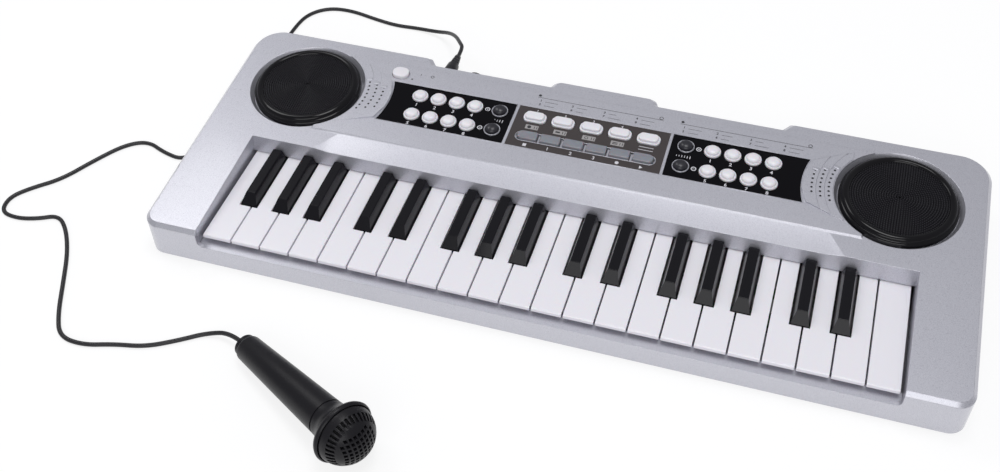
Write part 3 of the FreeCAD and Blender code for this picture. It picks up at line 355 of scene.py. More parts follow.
def at_speaker(side):
    """Centre of the left speaker, for -1, or of the right one, for 1, on the cover's sloping top."""
    return Matrix.Translation(Vector((side * speaker_x, speaker_y, top_height(speaker_y))) * MM) @ tilt


# ABS, moulded and polished: near mirror gloss
ring_gloss, tree = new_finish("black_abs_mirror")
close(tree, add(tree, "BsdfPrincipled", {
    "Base Color": linear("#08070b"), "Roughness": 0.12, "IOR": 1.54, "Specular IOR Level": 0.25}))
# Steel sheet, punched and powder coated: dull black with a fine orange-peel grain
mesh_black, tree = new_finish("black_powder_coat")
place = add(tree, "TexCoord").outputs["Object"]
peel = add(tree, "TexNoise", {"Vector": place, "Scale": 1000 / 0.3, "Detail": 2.0})
relief = add(tree, "Bump", {"Height": peel.outputs["Fac"], "Strength": 0.3, "Distance": 0.03 * MM})
close(tree, add(tree, "BsdfPrincipled", {
    "Base Color": linear("#1e1d22"), "Roughness": 0.5, "IOR": 1.5, "Specular IOR Level": 0.35,
    "Normal": relief.outputs["Normal"]}))
mesh_radius = 25.4
mesh_rings = 20
ring_pitch = mesh_radius / mesh_rings
hole_land = 0.36
hole_depth = 0.7
edge_rise, crown = 0.6, 1.0
for side, label in ((-1, "left"), (1, "right")):
    ring = turned("speaker_ring_" + label, [
        (27.3, -2.7), (31.2, -2.7), (31.2, -0.9), (30.9, -0.3), (30.2, 0.2), (29.9, 0.3), (29.6, 1.2),
        (29.1, 1.8), (28.4, 2.2), (27.6, 2.35), (26.8, 2.3), (26.2, 2.0), (25.8, 1.5), (25.5, 0.9),
        (25.3, 0.2)], 128)
    put(ring, at_speaker(side))
    fit(ring, "case", ring_gloss, "black_mesh", "speaker_grilles")
    bpy.ops.object.select_all(action="DESELECT")
    bpy.ops.mesh.primitive_circle_add(vertices=6, radius=0.15 * ring_pitch * MM, location=(0, 0, 0))
    face = bpy.context.object
    face.name = "speaker_face_" + label
    bpy.ops.object.mode_set(mode="EDIT")
    for number in range(1, mesh_rings + 1):
        bpy.ops.mesh.select_all(action="DESELECT")
        inner = (number - 0.5) * ring_pitch
        bpy.ops.mesh.primitive_circle_add(vertices=6 * number, radius=inner * MM, location=(0, 0, 0))
        bpy.ops.mesh.extrude_edges_move()
        grown = (inner + ring_pitch) / inner
        bpy.ops.transform.resize(value=(grown, grown, 1), center_override=(0, 0, 0))
        bpy.ops.mesh.select_more()
        bpy.ops.mesh.inset(thickness=hole_land * MM, depth=-hole_depth * MM, use_individual=True)
    bpy.ops.object.mode_set(mode="OBJECT")
    for vertex in face.data.vertices:
        away = vertex.co.xy.length / (mesh_radius * MM)
        vertex.co.z += (edge_rise + crown * (1 - away * away)) * MM
    put(face, at_speaker(side))
    fit(face, "case", mesh_black, "black_mesh", "speaker_grilles")
    back = turned("speaker_back_" + label, [(25.6, -1.5), (25.6, -0.6), (14.0, 0.0)], 48)
    put(back, at_speaker(side))
    fit(back, "case", mesh_black, "black_mesh", "speaker_grilles")


# Panel sheets
# Three printed plastic sheets let into the platform: gloss black at the sides, grey-brown in the middle.
# Thin ribs of the silver cover part them, and a bead runs round each.
# Polycarbonate sheet, printed on its back: a smooth gloss over flat black
black_sheet, tree = new_finish("black_printed_polycarbonate")
place = add(tree, "TexCoord").outputs["Object"]
waves = add(tree, "TexNoise", {"Vector": place, "Scale": 1000 / 14, "Detail": 1.0})
relief = add(tree, "Bump", {"Height": waves.outputs["Fac"], "Strength": 0.03, "Distance": 0.2 * MM})
close(tree, add(tree, "BsdfPrincipled", {
    "Base Color": linear("#0b0a0e"), "Roughness": 0.16, "IOR": 1.5, "Specular IOR Level": 0.1,
    "Normal": relief.outputs["Normal"]}))
# The same sheet with a warm grey print and a fine satin texture
grey_sheet, tree = new_finish("grey_printed_polycarbonate")
place = add(tree, "TexCoord").outputs["Object"]
satin = add(tree, "TexNoise", {"Vector": place, "Scale": 1000 / 0.4, "Detail": 2.0})
relief = add(tree, "Bump", {"Height": satin.outputs["Fac"], "Strength": 0.12, "Distance": 0.03 * MM})
close(tree, add(tree, "BsdfPrincipled", {
    "Base Color": linear("#413b3b"), "Roughness": 0.38, "IOR": 1.58, "Specular IOR Level": 0.3,
    "Normal": relief.outputs["Normal"]}))
sheet_rise = 0.17
front_edge, edge_forward, edge_drop = 24.3, 1.1, 0.07
for name, finish, slot in (("side_panels", black_sheet, "panel_sheet"),
                           ("centre_panel", grey_sheet, "dark_panel")):
    sheet = dressed(name, smooth=14.0)
    narrow(sheet, old=5.5, new=4.7)
    for vertex in sheet.data.vertices:
        vertex.co.z += sheet_rise * MM
        if vertex.co.y < front_edge * MM:
            vertex.co.y -= edge_forward * MM
            vertex.co.z -= edge_drop * MM
    fit(sheet, "case", finish, slot, name)

platform_rise = 0.8


def on_deck(x, y, rise=0.0):
    """Place on the sloping platform, raised a little, in millimetres."""
    return Matrix.Translation(Vector((x, y, top_height(y) + platform_rise + rise)) * MM) @ tilt


def bead(name, outline, wide):
    """A round bead laid along a closed outline of (x, y) points on the deck, half sunk, in millimetres."""
    line = bpy.data.curves.new(name, "CURVE")
    line.dimensions = "3D"
    line.bevel_depth = wide / 2 * MM
    line.bevel_resolution = 3
    run = line.splines.new("POLY")
    run.points.add(len(outline) - 1)
    for point, (x, y) in zip(run.points, outline):
        point.co = (*on_deck(x, y).translation, 1.0)
    run.use_cyclic_u = True
    bpy.ops.object.select_all(action="DESELECT")
    made = bpy.data.objects.new(name, line)
    bpy.context.scene.collection.objects.link(made)
    bpy.context.view_layer.objects.active = made
    made.select_set(True)
    bpy.ops.object.convert(target="MESH")
    bpy.ops.object.shade_smooth()
    return bpy.context.object


panel_low, panel_high = 22.8, 54.95
centre_end, side_end = 43.75, 45.0
round_end = 50.7
trim_width = 0.55
for side, label in ((-1, "left"), (1, "right")):
    end = []
    for step in range(13):
        y = panel_low + (panel_high - panel_low) * step / 12
        end.append((side * (speaker_x - math.sqrt(round_end ** 2 - (y - speaker_y) ** 2)), y))
    outline = end + [(side * side_end, panel_high), (side * side_end, panel_low)]
    fit(bead("panel_trim_" + label, outline, trim_width), "case", silver, "silver_plastic")
outline = [(-centre_end, panel_low), (centre_end, panel_low), (centre_end, panel_high),
           (-centre_end, panel_high)]
fit(bead("panel_trim_centre", outline, trim_width), "case", silver, "silver_plastic")


# Round buttons
# Sixteen white domed caps in two groups of eight, each moulded in one piece with a flange that keeps it in
# and a post that presses a rubber contact.
# Polystyrene, moulded: milky white with a soft gloss
white_cap, tree = new_finish("white_polystyrene_moulded")
place = add(tree, "TexCoord").outputs["Object"]
waves = add(tree, "TexNoise", {"Vector": place, "Scale": 1000 / 3, "Detail": 2.0})
relief = add(tree, "Bump", {"Height": waves.outputs["Fac"], "Strength": 0.05, "Distance": 0.1 * MM})
close(tree, add(tree, "BsdfPrincipled", {
    "Base Color": linear("#eeecf1"), "Roughness": 0.28, "IOR": 1.59, "Subsurface Weight": 0.1,
    "Subsurface Scale": 2.0 * MM, "Normal": relief.outputs["Normal"]}))


def joined(name, pieces):
    """Several objects as one."""
    bpy.ops.object.select_all(action="DESELECT")
    for piece in pieces:
        piece.select_set(True)
    bpy.context.view_layer.objects.active = pieces[0]
    bpy.ops.object.join()
    pieces[0].name = name
    return pieces[0]


def copies(name, model, places):
    """A copy of a piece at each place, each with its own mesh, joined under one name."""
    made = []
    for place in places:
        piece = bpy.data.objects.new(name, model.data.copy())
        bpy.context.scene.collection.objects.link(piece)
        made.append(put(piece, place))
    bpy.data.objects.remove(model)
    return joined(name, made)


post_foot, flange_foot, flange_top = -7.9, -4.1, -3.3
flange_reach = 0.6


def domed(radius, crown):
    """Profile of a round cap, up from the foot of its post past its flange to the points of its crown."""
    return [(radius / 2, post_foot), (radius / 2, flange_foot), (radius + flange_reach, flange_foot),
            (radius + flange_reach, flange_top), (radius, flange_top)] + crown


first_x, button_pitch = 68.1, 11.06
left_places = [(-first_x - button_pitch * column, y) for y in button_rows for column in range(4)]
for name, flank in (("tone_buttons", 1), ("rhythm_buttons", -1)):
    cap = turned("round_cap", domed(4.6, [
        (4.6, 0.3), (4.55, 0.6), (4.35, 0.82), (4.1, 0.85), (3.9, 0.72), (3.82, 0.5), (3.74, 0.6),
        (3.7, 1.2), (3.56, 1.65), (3.25, 2.05), (2.75, 2.38), (2.05, 2.6), (1.2, 2.74), (0.4, 2.79)]), 48)
    caps = copies(name + "_caps", cap, [on_deck(flank * x, y) for x, y in left_places])
    fit(caps, name, white_cap, "white_button", name)


# Volume and tempo buttons
# Four dark domed caps, each inside a raised silver ring of the cover and moulded with a flange and a post, as
# the white ones are.
# ABS, moulded: blue-black with a satin gloss
dark_cap, tree = new_finish("dark_abs_satin")
place = add(tree, "TexCoord").outputs["Object"]
waves = add(tree, "TexNoise", {"Vector": place, "Scale": 1000 / 0.5, "Detail": 2.0})
relief = add(tree, "Bump", {"Height": waves.outputs["Fac"], "Strength": 0.1, "Distance": 0.03 * MM})
close(tree, add(tree, "BsdfPrincipled", {
    "Base Color": linear("#201f27"), "Roughness": 0.3, "IOR": 1.54, "Normal": relief.outputs["Normal"]}))
for name, x in (("volume_buttons", -dark_x), ("tempo_buttons", dark_x)):
    cap = turned("dark_dome", domed(3.9, [
        (3.9, 0.3), (3.8, 0.8), (3.7, 1.35), (3.45, 1.93), (3.0, 2.42), (2.35, 2.78), (1.5, 3.0),
        (0.6, 3.1), (0.15, 3.12)]), 48)
    caps = copies(name + "_caps", cap, [on_deck(x, y) for y in button_rows])
    fit(caps, name, dark_cap, "dark_button", name)


# Pads, small buttons and power button
# Five wide white pads, six small grey buttons side by side in one slot, and an oval white power button, each
# moulded with a flange and a post below the cover.
def bar(name, length, width, rise, corners, edge):
    """A bar-shaped cap on its flange and post. Its left and right corners and its top edge are rounded."""
    bpy.ops.object.select_all(action="DESELECT")
    high = rise - flange_top
    bpy.ops.mesh.primitive_cube_add(size=1.0, location=(0, 0, (rise - high / 2) * MM))
    piece = bpy.context.object
    piece.name = name
    piece.scale = (length * MM, width * MM, high * MM)
    bpy.ops.object.transform_apply(location=True, rotation=True, scale=True)
    for side, corner in zip((-1, 1), corners):
        bpy.ops.object.mode_set(mode="EDIT")
        bpy.ops.mesh.select_mode(type="EDGE")
        bpy.ops.mesh.select_all(action="DESELECT")
        bpy.ops.object.mode_set(mode="OBJECT")
        for line in piece.data.edges:
            a, b = [piece.data.vertices[v].co for v in line.vertices]
            line.select = abs(a.z - b.z) > 0.5 * high * MM and side * a.x > 0.499 * length * MM
        bpy.ops.object.mode_set(mode="EDIT")
        bpy.ops.mesh.bevel(offset=corner * MM, offset_type="OFFSET", segments=8, profile=0.5)
    bpy.ops.mesh.select_mode(type="FACE")
    bpy.ops.mesh.select_all(action="DESELECT")
    bpy.ops.object.mode_set(mode="OBJECT")
    for face in piece.data.polygons:
        face.select = face.normal.z > 0.9
    bpy.ops.object.mode_set(mode="EDIT")
    bpy.ops.mesh.bevel(offset=edge * MM, offset_type="OFFSET", segments=5, profile=0.5)
    bpy.ops.mesh.select_all(action="DESELECT")
    bpy.ops.object.mode_set(mode="OBJECT")
    for face in piece.data.polygons:
        face.select = face.normal.z < -0.9
    bpy.ops.object.mode_set(mode="EDIT")
    flange = ((length + 2 * flange_reach) / length, (width + 2 * flange_reach) / width, 1)
    for share, fall in ((flange, flange_foot - flange_top), ((0.5, 0.5, 1), post_foot - flange_foot)):
        bpy.ops.mesh.extrude_region_move(TRANSFORM_OT_translate={"value": (0, 0, 0)})
        bpy.ops.transform.resize(value=share, center_override=(0, 0, 0))
        bpy.ops.mesh.extrude_region_move(TRANSFORM_OT_translate={"value": (0, 0, fall * MM)})
    bpy.ops.object.mode_set(mode="OBJECT")
    bpy.ops.object.shade_smooth_by_angle(angle=math.radians(35))
    return piece


# Polystyrene, moulded in a smoky translucent grey: light passes a little way into it
smoke_cap, tree = new_finish("smoke_polystyrene_moulded")
place = add(tree, "TexCoord").outputs["Object"]
cloud = add(tree, "TexNoise", {"Vector": place, "Scale": 1000 / 5, "Detail": 2.0})
tones = add(tree, "ValToRGB", {"Fac": cloud.outputs["Fac"]})
tones.color_ramp.elements[0].color = linear("#85878f")
tones.color_ramp.elements[1].color = linear("#90929a")
close(tree, add(tree, "BsdfPrincipled", {
    "Base Color": tones.outputs["Color"], "Roughness": 0.25, "IOR": 1.59, "Subsurface Weight": 0.4,
    "Subsurface Scale": 3.0 * MM}))
pad_pitch, small_pitch = 16.3, 13.1
pad_row, small_row = button_rows
pad = joined("pad", [bar("pad_rim", 13.0, 7.6, 0.85, (3.1, 3.1), 0.3),
                     bar("pad_crown", 10.9, 5.9, 2.6, (2.2, 2.2), 0.9)])
pads = copies("drum_pad_caps", pad, [on_deck(pad_pitch * step, pad_row) for step in range(-2, 3)])
fit(pads, "drum_pads", white_cap, "white_button", "drum_pads")
end_corner, inner_corner = 2.8, 0.8
row = []
for name, corners, steps in (("first_cap", (end_corner, inner_corner), (-2.5,)),
                             ("middle_caps", (inner_corner, inner_corner), (-1.5, -0.5, 0.5, 1.5)),
                             ("last_cap", (inner_corner, end_corner), (2.5,))):
    row.append(copies(name, bar("small", 11.2, 6.0, 1.8, corners, 0.6),
                      [on_deck(small_pitch * step, small_row) for step in steps]))
small = joined("mode_button_caps", row)
fit(small, "mode_buttons", smoke_cap, "grey_button", "mode_buttons")
power = copies("power_button_cap", bar("oval", 9.8, 8.2, 2.0, (3.9, 3.9), 0.8), [on_deck(-118.6, 61.8)])
fit(power, "power_button", white_cap, "white_button", "power_button")
slot_end, slot_round = 36.2, 3.45
outline = [(side * (slot_end + slot_round * math.cos(turn)), small_row + side * slot_round * math.sin(turn))
           for side in (1, -1) for turn in [math.radians(15 * step - 90) for step in range(13)]]
fit(bead("mode_slot_trim", outline, 0.5), "case", silver, "silver_plastic")


# Printing
# Plain marks in screen-printed ink: numbers by the buttons, plus and minus signs, boxes and thin rules.
# The fans' small details come with them: a flat disc of painted shade on each hole, and the block that closes
# a row of holes.
# Screen ink: matt and opaque
dark_ink, tree = new_finish("dark_screen_ink")
place = add(tree, "TexCoord").outputs["Object"]
wear = add(tree, "TexNoise", {"Vector": place, "Scale": 1000 / 0.6, "Detail": 2.0})
dull = add(tree, "MapRange", {"Value": wear.outputs["Fac"], "To Min": 0.5, "To Max": 0.7})
close(tree, add(tree, "BsdfPrincipled", {
    "Base Color": linear("#2c2b30"), "Roughness": dull.outputs["Result"]}))
pale_ink, tree = new_finish("pale_screen_ink")
place = add(tree, "TexCoord").outputs["Object"]
wear = add(tree, "TexNoise", {"Vector": place, "Scale": 1000 / 0.6, "Detail": 2.0})
dull = add(tree, "MapRange", {"Value": wear.outputs["Fac"], "To Min": 0.5, "To Max": 0.7})
close(tree, add(tree, "BsdfPrincipled", {
    "Base Color": linear("#d9d8dd"), "Roughness": dull.outputs["Result"]}))
ink, over_ink = 0.03, 0.06


def numeral(number, height, x, y):
    """A printed number centred at a place on the deck, as tall as the height in millimetres."""
    bpy.ops.object.select_all(action="DESELECT")
    bpy.ops.object.text_add()
    made = bpy.context.object
    made.data.body = str(number)
    made.data.align_x = "CENTER"
    made.data.align_y = "CENTER"
    made.data.size = height * 1.4 * MM
    made.data.offset = 0.06 * MM
    made.data.extrude = 0.01 * MM
    made.data.resolution_u = 3
    bpy.ops.object.convert(target="MESH")
    made = bpy.context.object
    return put(made, on_deck(x, y, ink))


def rule(length, width, x, y, rise=ink):
    """A printed rule or box, centred at a place on the deck."""
    bpy.ops.object.select_all(action="DESELECT")
    bpy.ops.mesh.primitive_cube_add(size=1.0)
    made = bpy.context.object
    return put(made, on_deck(x, y, rise) @ Matrix.Diagonal((length * MM, width * MM, 0.02 * MM, 1)))


def disc(radius, sides, x, y, rise=ink):
    """A printed dot, another regular figure, or a flat disc of painted shade over a sound hole."""
    bpy.ops.object.select_all(action="DESELECT")
    bpy.ops.mesh.primitive_cylinder_add(vertices=sides, radius=radius * MM, depth=0.02 * MM)
    made = bpy.context.object
    return put(made, on_deck(x, y, rise) @ Matrix.Rotation(math.radians(-90), 4, "Z"))


def hoop(radius, width, x, y, rise=ink):
    """A printed ring."""
    bpy.ops.object.select_all(action="DESELECT")
    bpy.ops.mesh.primitive_torus_add(major_segments=28, minor_segments=4, major_radius=radius * MM,
                                     minor_radius=width / 2 * MM)
    made = bpy.context.object
    return put(made, on_deck(x, y, rise) @ Matrix.Diagonal((1, 1, 0.05, 1)))


large, small_size = 2.3, 1.6
below_button = 7.1
sign_x = 60.6
sign_row, foot_row = 39.3, 25.3
marks = []
for number, (x, y) in enumerate(left_places):
    facing = left_places[4 * (number // 4) + 3 - number % 4][0]
    marks.append(numeral(number + 1, large, -x, y - below_button))
    marks.append(numeral(number + 1, large, facing, y - below_button))
for side in (-1, 1):
    for y, plus in ((46.7, True), (31.7, False)):
        marks.append(hoop(1.25, 0.5, side * sign_x, y))
        marks.append(rule(1.1, 0.3, side * sign_x, y))
        if plus:
            marks.append(rule(0.3, 1.1, side * sign_x, y))
    for step in range(6):
        marks.append(rule(0.35, 0.9 + 0.25 * step, side * dark_x + 1.5 * (step - 2.5), sign_row))
marks.append(rule(2.0, 2.0, -32.7, foot_row))
for number, x in enumerate((-19.6, -6.5, 6.5)):
    marks.append(numeral(number + 1, large, x, foot_row))
marks.append(disc(1.1, 32, 19.6, foot_row))
marks.append(disc(1.3, 3, 32.7, foot_row))
for number in range(4):
    marks.append(numeral(number + 1, small_size, pad_pitch * (number - 2), 52.6))
for y in (40.6, 38.4):
    marks.append(rule(8.2, 0.35, 32.6, y))
fit(joined("pale_marks", marks), "case", pale_ink, "panel_sheet")
# The same ink in grey: boxes below the pads, each with a dark sign of its own
box_ink, tree = new_finish("grey_screen_ink")
place = add(tree, "TexCoord").outputs["Object"]
wear = add(tree, "TexNoise", {"Vector": place, "Scale": 1000 / 0.6, "Detail": 2.0})
tones = add(tree, "ValToRGB", {"Fac": wear.outputs["Fac"]})
tones.color_ramp.elements[0].color = linear("#9a9797")
tones.color_ramp.elements[1].color = linear("#a9a6a6")
close(tree, add(tree, "BsdfPrincipled", {"Base Color": tones.outputs["Color"], "Roughness": 0.6}))
boxes = [rule(7.4, 3.3, x, sign_row) for x in (-32.4, -16.1, 0.4, 16.6)]
fit(joined("sign_boxes", boxes), "case", box_ink, "panel_sheet")
marks = [disc(1.1, 32, -33.9, sign_row, over_ink), rule(2.6, 1.1, -17.4, sign_row, over_ink),
         hoop(0.9, 0.35, -1.0, sign_row, over_ink), rule(3.0, 0.5, 15.3, sign_row + 0.5, over_ink),
         rule(3.0, 0.5, 15.3, sign_row - 0.5, over_ink)]
for x in (-30.2, -13.9, 2.6, 18.8):
    marks += [rule(0.4, 1.9, x + step, sign_row, over_ink) for step in (-0.7, 0.7)]
list_width = 73.0
for x in (0.8, 83.5):
    left_end, right_end = x - list_width / 2, x + list_width / 2
    marks.append(rule(list_width, 0.25, x, 63.6))
    marks.append(disc(0.9, 24, left_end + 1.0, 65.2))
    marks.append(hoop(1.0, 0.35, right_end - 1.4, 65.0))
    for number in range(8):
        start = left_end + 2.6 + 18.6 * (number % 4)
        y = 61.2 - 3.1 * (number // 4)
        marks.append(numeral(number + 1, small_size, start, y))
        marks.append(rule(7.5 - 1.6 * (number % 3), 0.22, start + 6.2 - 0.8 * (number % 3), y - 0.5))
marks += [rule(0.3, 1.6, -106.7, 63.8), disc(0.55, 20, -110.7, 59.1), hoop(0.9, 0.35, -99.7, 63.8)]
fit(joined("dark_marks", marks), "case", dark_ink, "silver_plastic")
# Sound holes of the fans: flat dark discs laid over them are painted shade for the dark of their depth
painted_hole_shade, tree = new_finish("painted_shade_of_a_sound_hole")
place = add(tree, "TexCoord").outputs["Object"]
grain = add(tree, "TexNoise", {"Vector": place, "Scale": 1000 / 0.4, "Detail": 2.0})
dull = add(tree, "MapRange", {"Value": grain.outputs["Fac"], "To Min": 0.7, "To Max": 0.9})
close(tree, add(tree, "BsdfPrincipled", {
    "Base Color": linear("#19181c"), "Roughness": dull.outputs["Result"]}))
fan_start, fan_band, tier_rise = 34.2, 4.5, 0.35
hole_pitch = 3.2


def in_fan(side, band, turn):
    """Place at the middle of a tier beside a speaker: x, y and the tier's height over the deck."""
    radius = fan_start + fan_band * (band + 0.5)
    x = side * (speaker_x - radius * math.cos(turn))
    return x, speaker_y + radius * math.sin(turn), tier_rise * (band + 1)


holes = []
for side in (-1, 1):
    for band, count in enumerate((8, 7, 6)):
        for step in range(count):
            turn = (step - (count - 1) / 2) * hole_pitch / (fan_start + fan_band * (band + 0.5))
            x, y, tier = in_fan(side, band, turn)
            # Each disc is painted shade, laid just above a shallow hole of the tier
            holes.append(disc(0.62, 16, x, y, tier + ink))
fit(joined("sound_hole_shadows", holes), "case", painted_hole_shade, "silver_plastic")
# A small block closes the rear end of each row of holes
block_size = Vector((3.3, 2.0, 1.0))
blocks = []
for side in (-1, 1):
    for band, turn in enumerate((0.374, 0.263, 0.192)):
        bpy.ops.object.select_all(action="DESELECT")
        bpy.ops.mesh.primitive_cube_add(size=1.0)
        block = bpy.context.object
        block.scale = block_size * MM
        bpy.ops.object.transform_apply(location=True, rotation=True, scale=True)
        bpy.ops.object.mode_set(mode="EDIT")
        bpy.ops.mesh.select_all(action="SELECT")
        bpy.ops.mesh.bevel(offset=0.25 * MM, segments=3, affect="EDGES")
        bpy.ops.object.mode_set(mode="OBJECT")
        bpy.ops.object.shade_smooth_by_angle(angle=math.radians(35))
        block_turn = Matrix.Rotation(-side * turn, 4, "Z")
        blocks.append(put(block, on_deck(*in_fan(side, band, turn)) @ block_turn))
fit(joined("fan_blocks", blocks), "case", silver, "silver_plastic")


# Microphone
# A moulded handle that widens to a flared collar, with a domed grille of square holes set in the collar's
# mouth. Both are black plastic with a fine matt texture. Inside the grille lies dark foam.
# ABS, moulded with a spark-eroded texture: satin black, grain drawn 0.5 mm wide
mic_satin, tree = new_finish("black_abs_textured")
place = add(tree, "TexCoord").outputs["Object"]
grain = add(tree, "TexNoise", {"Vector": place, "Scale": 1000 / 0.5, "Detail": 3.0})
relief = add(tree, "Bump", {"Height": grain.outputs["Fac"], "Strength": 0.2, "Distance": 0.04 * MM})
close(tree, add(tree, "BsdfPrincipled", {
    "Base Color": linear("#17161a"), "Roughness": 0.36, "IOR": 1.5, "Specular IOR Level": 0.25,
    "Normal": relief.outputs["Normal"]}))
# Open-cell foam: no gloss at all
foam, tree = new_finish("black_foam")
place = add(tree, "TexCoord").outputs["Object"]
cells = add(tree, "TexVoronoi", {"Vector": place, "Scale": 1000 / 0.7})
relief = add(tree, "Bump", {"Height": cells.outputs["Distance"], "Strength": 0.6, "Distance": 0.3 * MM})
close(tree, add(tree, "BsdfPrincipled", {
    "Base Color": linear("#08080a"), "Roughness": 0.95, "Normal": relief.outputs["Normal"]}))
mic_place = (Matrix.Translation(mic_tail * MM) @ Matrix.Rotation(mic_heading, 4, "Z")
             @ Matrix.Rotation(math.radians(90) - mic_tilt, 4, "Y"))
handle = turned("microphone_handle", [
    (1.6, 0.0), (5.3, 0.0), (5.9, 0.5), (5.9, 2.9), (6.4, 3.1), (6.8, 3.5), (mic_tail_radius, 4.2),
    (8.4, 37.0), (9.7, 68.6), (9.7, 69.0), (9.3, 69.1), (9.3, 69.9), (9.8, 70.1), (9.9, 71.2), (9.95, 72.5),
    (10.3, 74.0), (11.1, 75.7), (12.3, 77.5), (13.8, 79.2), (15.3, 80.3), (15.9, 80.8), (16.3, 81.6),
    (mic_rim_radius, mic_rim_height), (16.3, 82.6), (15.9, 83.3), (15.6, 83.5), (15.45, 83.4), (15.2, 82.8),
    (13.5, 80.5), (8.3, 75.0)], 128)
put(handle, mic_place)
fit(handle, "case", mic_satin, "mic_plastic", "mic_handle")
fit(dressed("mic_grille", 0.12, 1), "case", mic_satin, "mic_plastic", "mic_grille")


dome_radius, dome_rise = 15.1, 14.2
foam_radius, foam_base = 13.2, 81.4


def dome_height(away):
    """Height of the grille's outside over its base, at a distance from its axis, in millimetres."""
    ball = (dome_radius ** 2 + dome_rise ** 2) / (2 * dome_rise)
    return dome_rise - ball + math.sqrt(max(0.0, ball ** 2 - away ** 2))


foam_steps = (foam_radius, 12.5, 11.4, 10.0, 8.4, 6.6, 4.6, 2.6, 0.6)
filling = turned("microphone_foam", [(foam_radius, mic_rim_height), (foam_radius, 83.4)] + [
    (away, foam_base + dome_height(away)) for away in foam_steps], 40)
put(filling, mic_place)
fit(filling, "case", foam, "mic_plastic")


# Underside, sockets and insides
# Rubber feet, plated screws and a clip-in battery door below, two sockets in the rear wall, and the boards,
# rubber contacts and speaker drivers inside the case.
# Rubber, moulded: soft matt black
foot_rubber, tree = new_finish("black_rubber_moulded")
place = add(tree, "TexCoord").outputs["Object"]
grain = add(tree, "TexNoise", {"Vector": place, "Scale": 1000 / 0.7, "Detail": 3.0})
relief = add(tree, "Bump", {"Height": grain.outputs["Fac"], "Strength": 0.3, "Distance": 0.05 * MM})
close(tree, add(tree, "BsdfPrincipled", {
    "Base Color": linear("#1e1d1f"), "Roughness": 0.8, "Normal": relief.outputs["Normal"]}))
fit(dressed("rubber_feet", 0.2), "case", foot_rubber, "foot_rubber", "rubber_feet")
fit(dressed("battery_door", 0.2), "case", silver, "silver_plastic", "battery_door")
# Steel, cold formed and zinc plated
zinc, tree = new_finish("zinc_plated_steel")
place = add(tree, "TexCoord").outputs["Object"]
spots = add(tree, "TexNoise", {"Vector": place, "Scale": 1000 / 1.5, "Detail": 3.0})
dull = add(tree, "MapRange", {"Value": spots.outputs["Fac"], "To Min": 0.25, "To Max": 0.45})
close(tree, add(tree, "BsdfPrincipled", {
    "Base Color": linear("#b9b8b4"), "Metallic": 1.0, "Roughness": dull.outputs["Result"]}))
fit(dressed("case_screws", 0.15), "case", zinc, "screw_steel", "case_screws")
# ABS, moulded in black: matt, with a fine grain
socket_black, tree = new_finish("black_abs_matt")
place = add(tree, "TexCoord").outputs["Object"]
grain = add(tree, "TexNoise", {"Vector": place, "Scale": 1000 / 0.5, "Detail": 2.0})
relief = add(tree, "Bump", {"Height": grain.outputs["Fac"], "Strength": 0.15, "Distance": 0.04 * MM})
close(tree, add(tree, "BsdfPrincipled", {
    "Base Color": linear("#141318"), "Roughness": 0.5, "IOR": 1.54, "Normal": relief.outputs["Normal"]}))
fit(dressed("rear_sockets", 0.2), "case", socket_black, "socket_plastic", "rear_sockets")
# Glass-fibre board under green solder lacquer, with the weave just showing
board_green, tree = new_finish("green_lacquered_board")
place = add(tree, "TexCoord").outputs["Object"]
weave = add(tree, "TexWave", {"Vector": place, "Scale": 1000 / 0.9, "Distortion": 0.3}, wave_type="BANDS")
tones = add(tree, "ValToRGB", {"Fac": weave.outputs["Fac"]})
tones.color_ramp.elements[0].color = linear("#1d4a24")
tones.color_ramp.elements[1].color = linear("#245a2c")
close(tree, add(tree, "BsdfPrincipled", {
    "Base Color": tones.outputs["Color"], "Roughness": 0.35, "IOR": 1.5}))
fit(dressed("circuit_boards"), "case", board_green, "board", "circuit_boards")
# Silicone rubber, moulded: pale grey and waxy
silicone, tree = new_finish("grey_silicone_moulded")
place = add(tree, "TexCoord").outputs["Object"]
grain = add(tree, "TexNoise", {"Vector": place, "Scale": 1000 / 2, "Detail": 2.0})
dull = add(tree, "MapRange", {"Value": grain.outputs["Fac"], "To Min": 0.55, "To Max": 0.7})
close(tree, add(tree, "BsdfPrincipled", {
    "Base Color": linear("#a9a9a4"), "Roughness": dull.outputs["Result"], "Subsurface Weight": 0.1,
    "Subsurface Scale": 1.0 * MM}))
fit(dressed("rubber_contacts"), "case", silicone, "contact_rubber", "rubber_contacts")
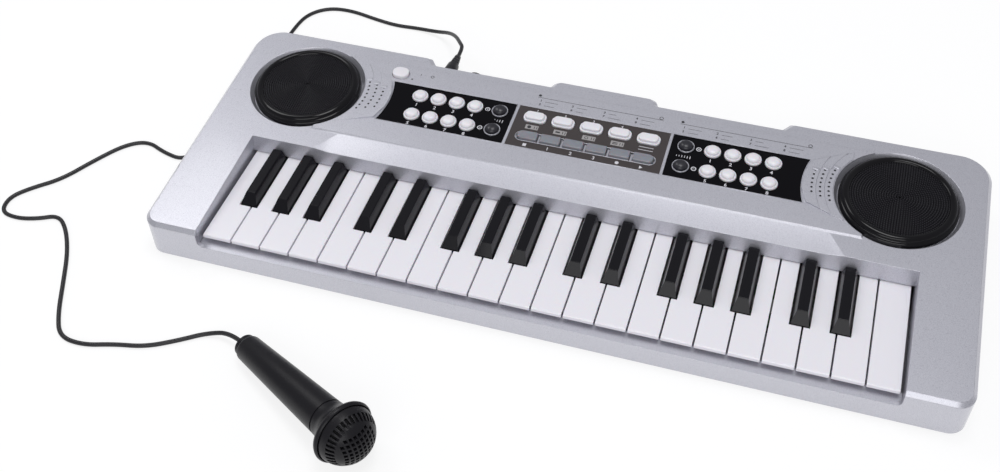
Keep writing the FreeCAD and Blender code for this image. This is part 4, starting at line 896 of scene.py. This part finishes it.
# Steel basket, pressed and dark chromated
basket, tree = new_finish("dark_chromated_steel")
place = add(tree, "TexCoord").outputs["Object"]
spots = add(tree, "TexNoise", {"Vector": place, "Scale": 1000 / 3, "Detail": 3.0})
dull = add(tree, "MapRange", {"Value": spots.outputs["Fac"], "To Min": 0.4, "To Max": 0.6})
close(tree, add(tree, "BsdfPrincipled", {
    "Base Color": linear("#3a3a3d"), "Metallic": 0.8, "Roughness": dull.outputs["Result"]}))
fit(dressed("speaker_drivers"), "case", basket, "driver_metal", "speaker_drivers")


# Stage and light
# A pale paper floor that looks white to the camera but keeps the object's shadow, a big soft lamp at the
# left, one in front, one overhead, and an even room light.
bpy.ops.object.select_all(action="DESELECT")
bpy.ops.mesh.primitive_plane_add(size=8.0, location=(0, 0, 0))
floor = bpy.context.object
floor.name = "floor"
floor_paper, tree = new_finish("white_paper")
paper = add(tree, "BsdfDiffuse", {"Color": linear("#fbfbfc")})
glow = add(tree, "Emission", {"Color": (1, 1, 1, 1), "Strength": 1.06})
# White to the camera, and in gloss and glass, but plain paper to the rays that light the object
seen = add(tree, "LightPath")
direct = add(tree, "Math", {0: seen.outputs["Is Camera Ray"], 1: seen.outputs["Is Transmission Ray"]},
             operation="MAXIMUM")
direct = add(tree, "Math", {0: direct.outputs[0], 1: seen.outputs["Is Glossy Ray"]}, operation="MAXIMUM")
share = add(tree, "Math", {0: direct.outputs[0], 1: 0.75}, operation="MULTIPLY")
close(tree, add(tree, "MixShader", {0: share.outputs[0], 1: paper.outputs[0], 2: glow.outputs[0]}))
floor.data.materials.append(floor_paper)

world = bpy.data.worlds.new("studio")
bpy.context.scene.world = world
world.use_nodes = True
tree = world.node_tree
tree.nodes.clear()
room = add(tree, "Background", {"Color": linear("#e4e5ea"), "Strength": 0.5})
add(tree, "OutputWorld", {"Surface": room.outputs[0]})

for name, at, aim, wide, watts in (("left_light", (-0.72, 0.32, 0.98), (-0.1, 0, 0), 0.55, 2.1),
                                   ("front_light", (0.2, -1.5, 1.0), (0, 0, 0), 1.3, 7.5),
                                   ("top_light", (0.1, 0.1, 1.6), (0, 0, 0), 0.8, 7.0)):
    bpy.ops.object.light_add(type="AREA", location=at)
    lamp = bpy.context.object
    lamp.name = name
    lamp.data.shape = "RECTANGLE"
    lamp.data.size = wide
    lamp.data.size_y = wide * 0.6
    lamp.data.energy = watts
    lamp.rotation_euler = (Vector(aim) - Vector(at)).to_track_quat("-Z", "Y").to_euler()

bpy.context.scene.view_settings.view_transform = "Standard"
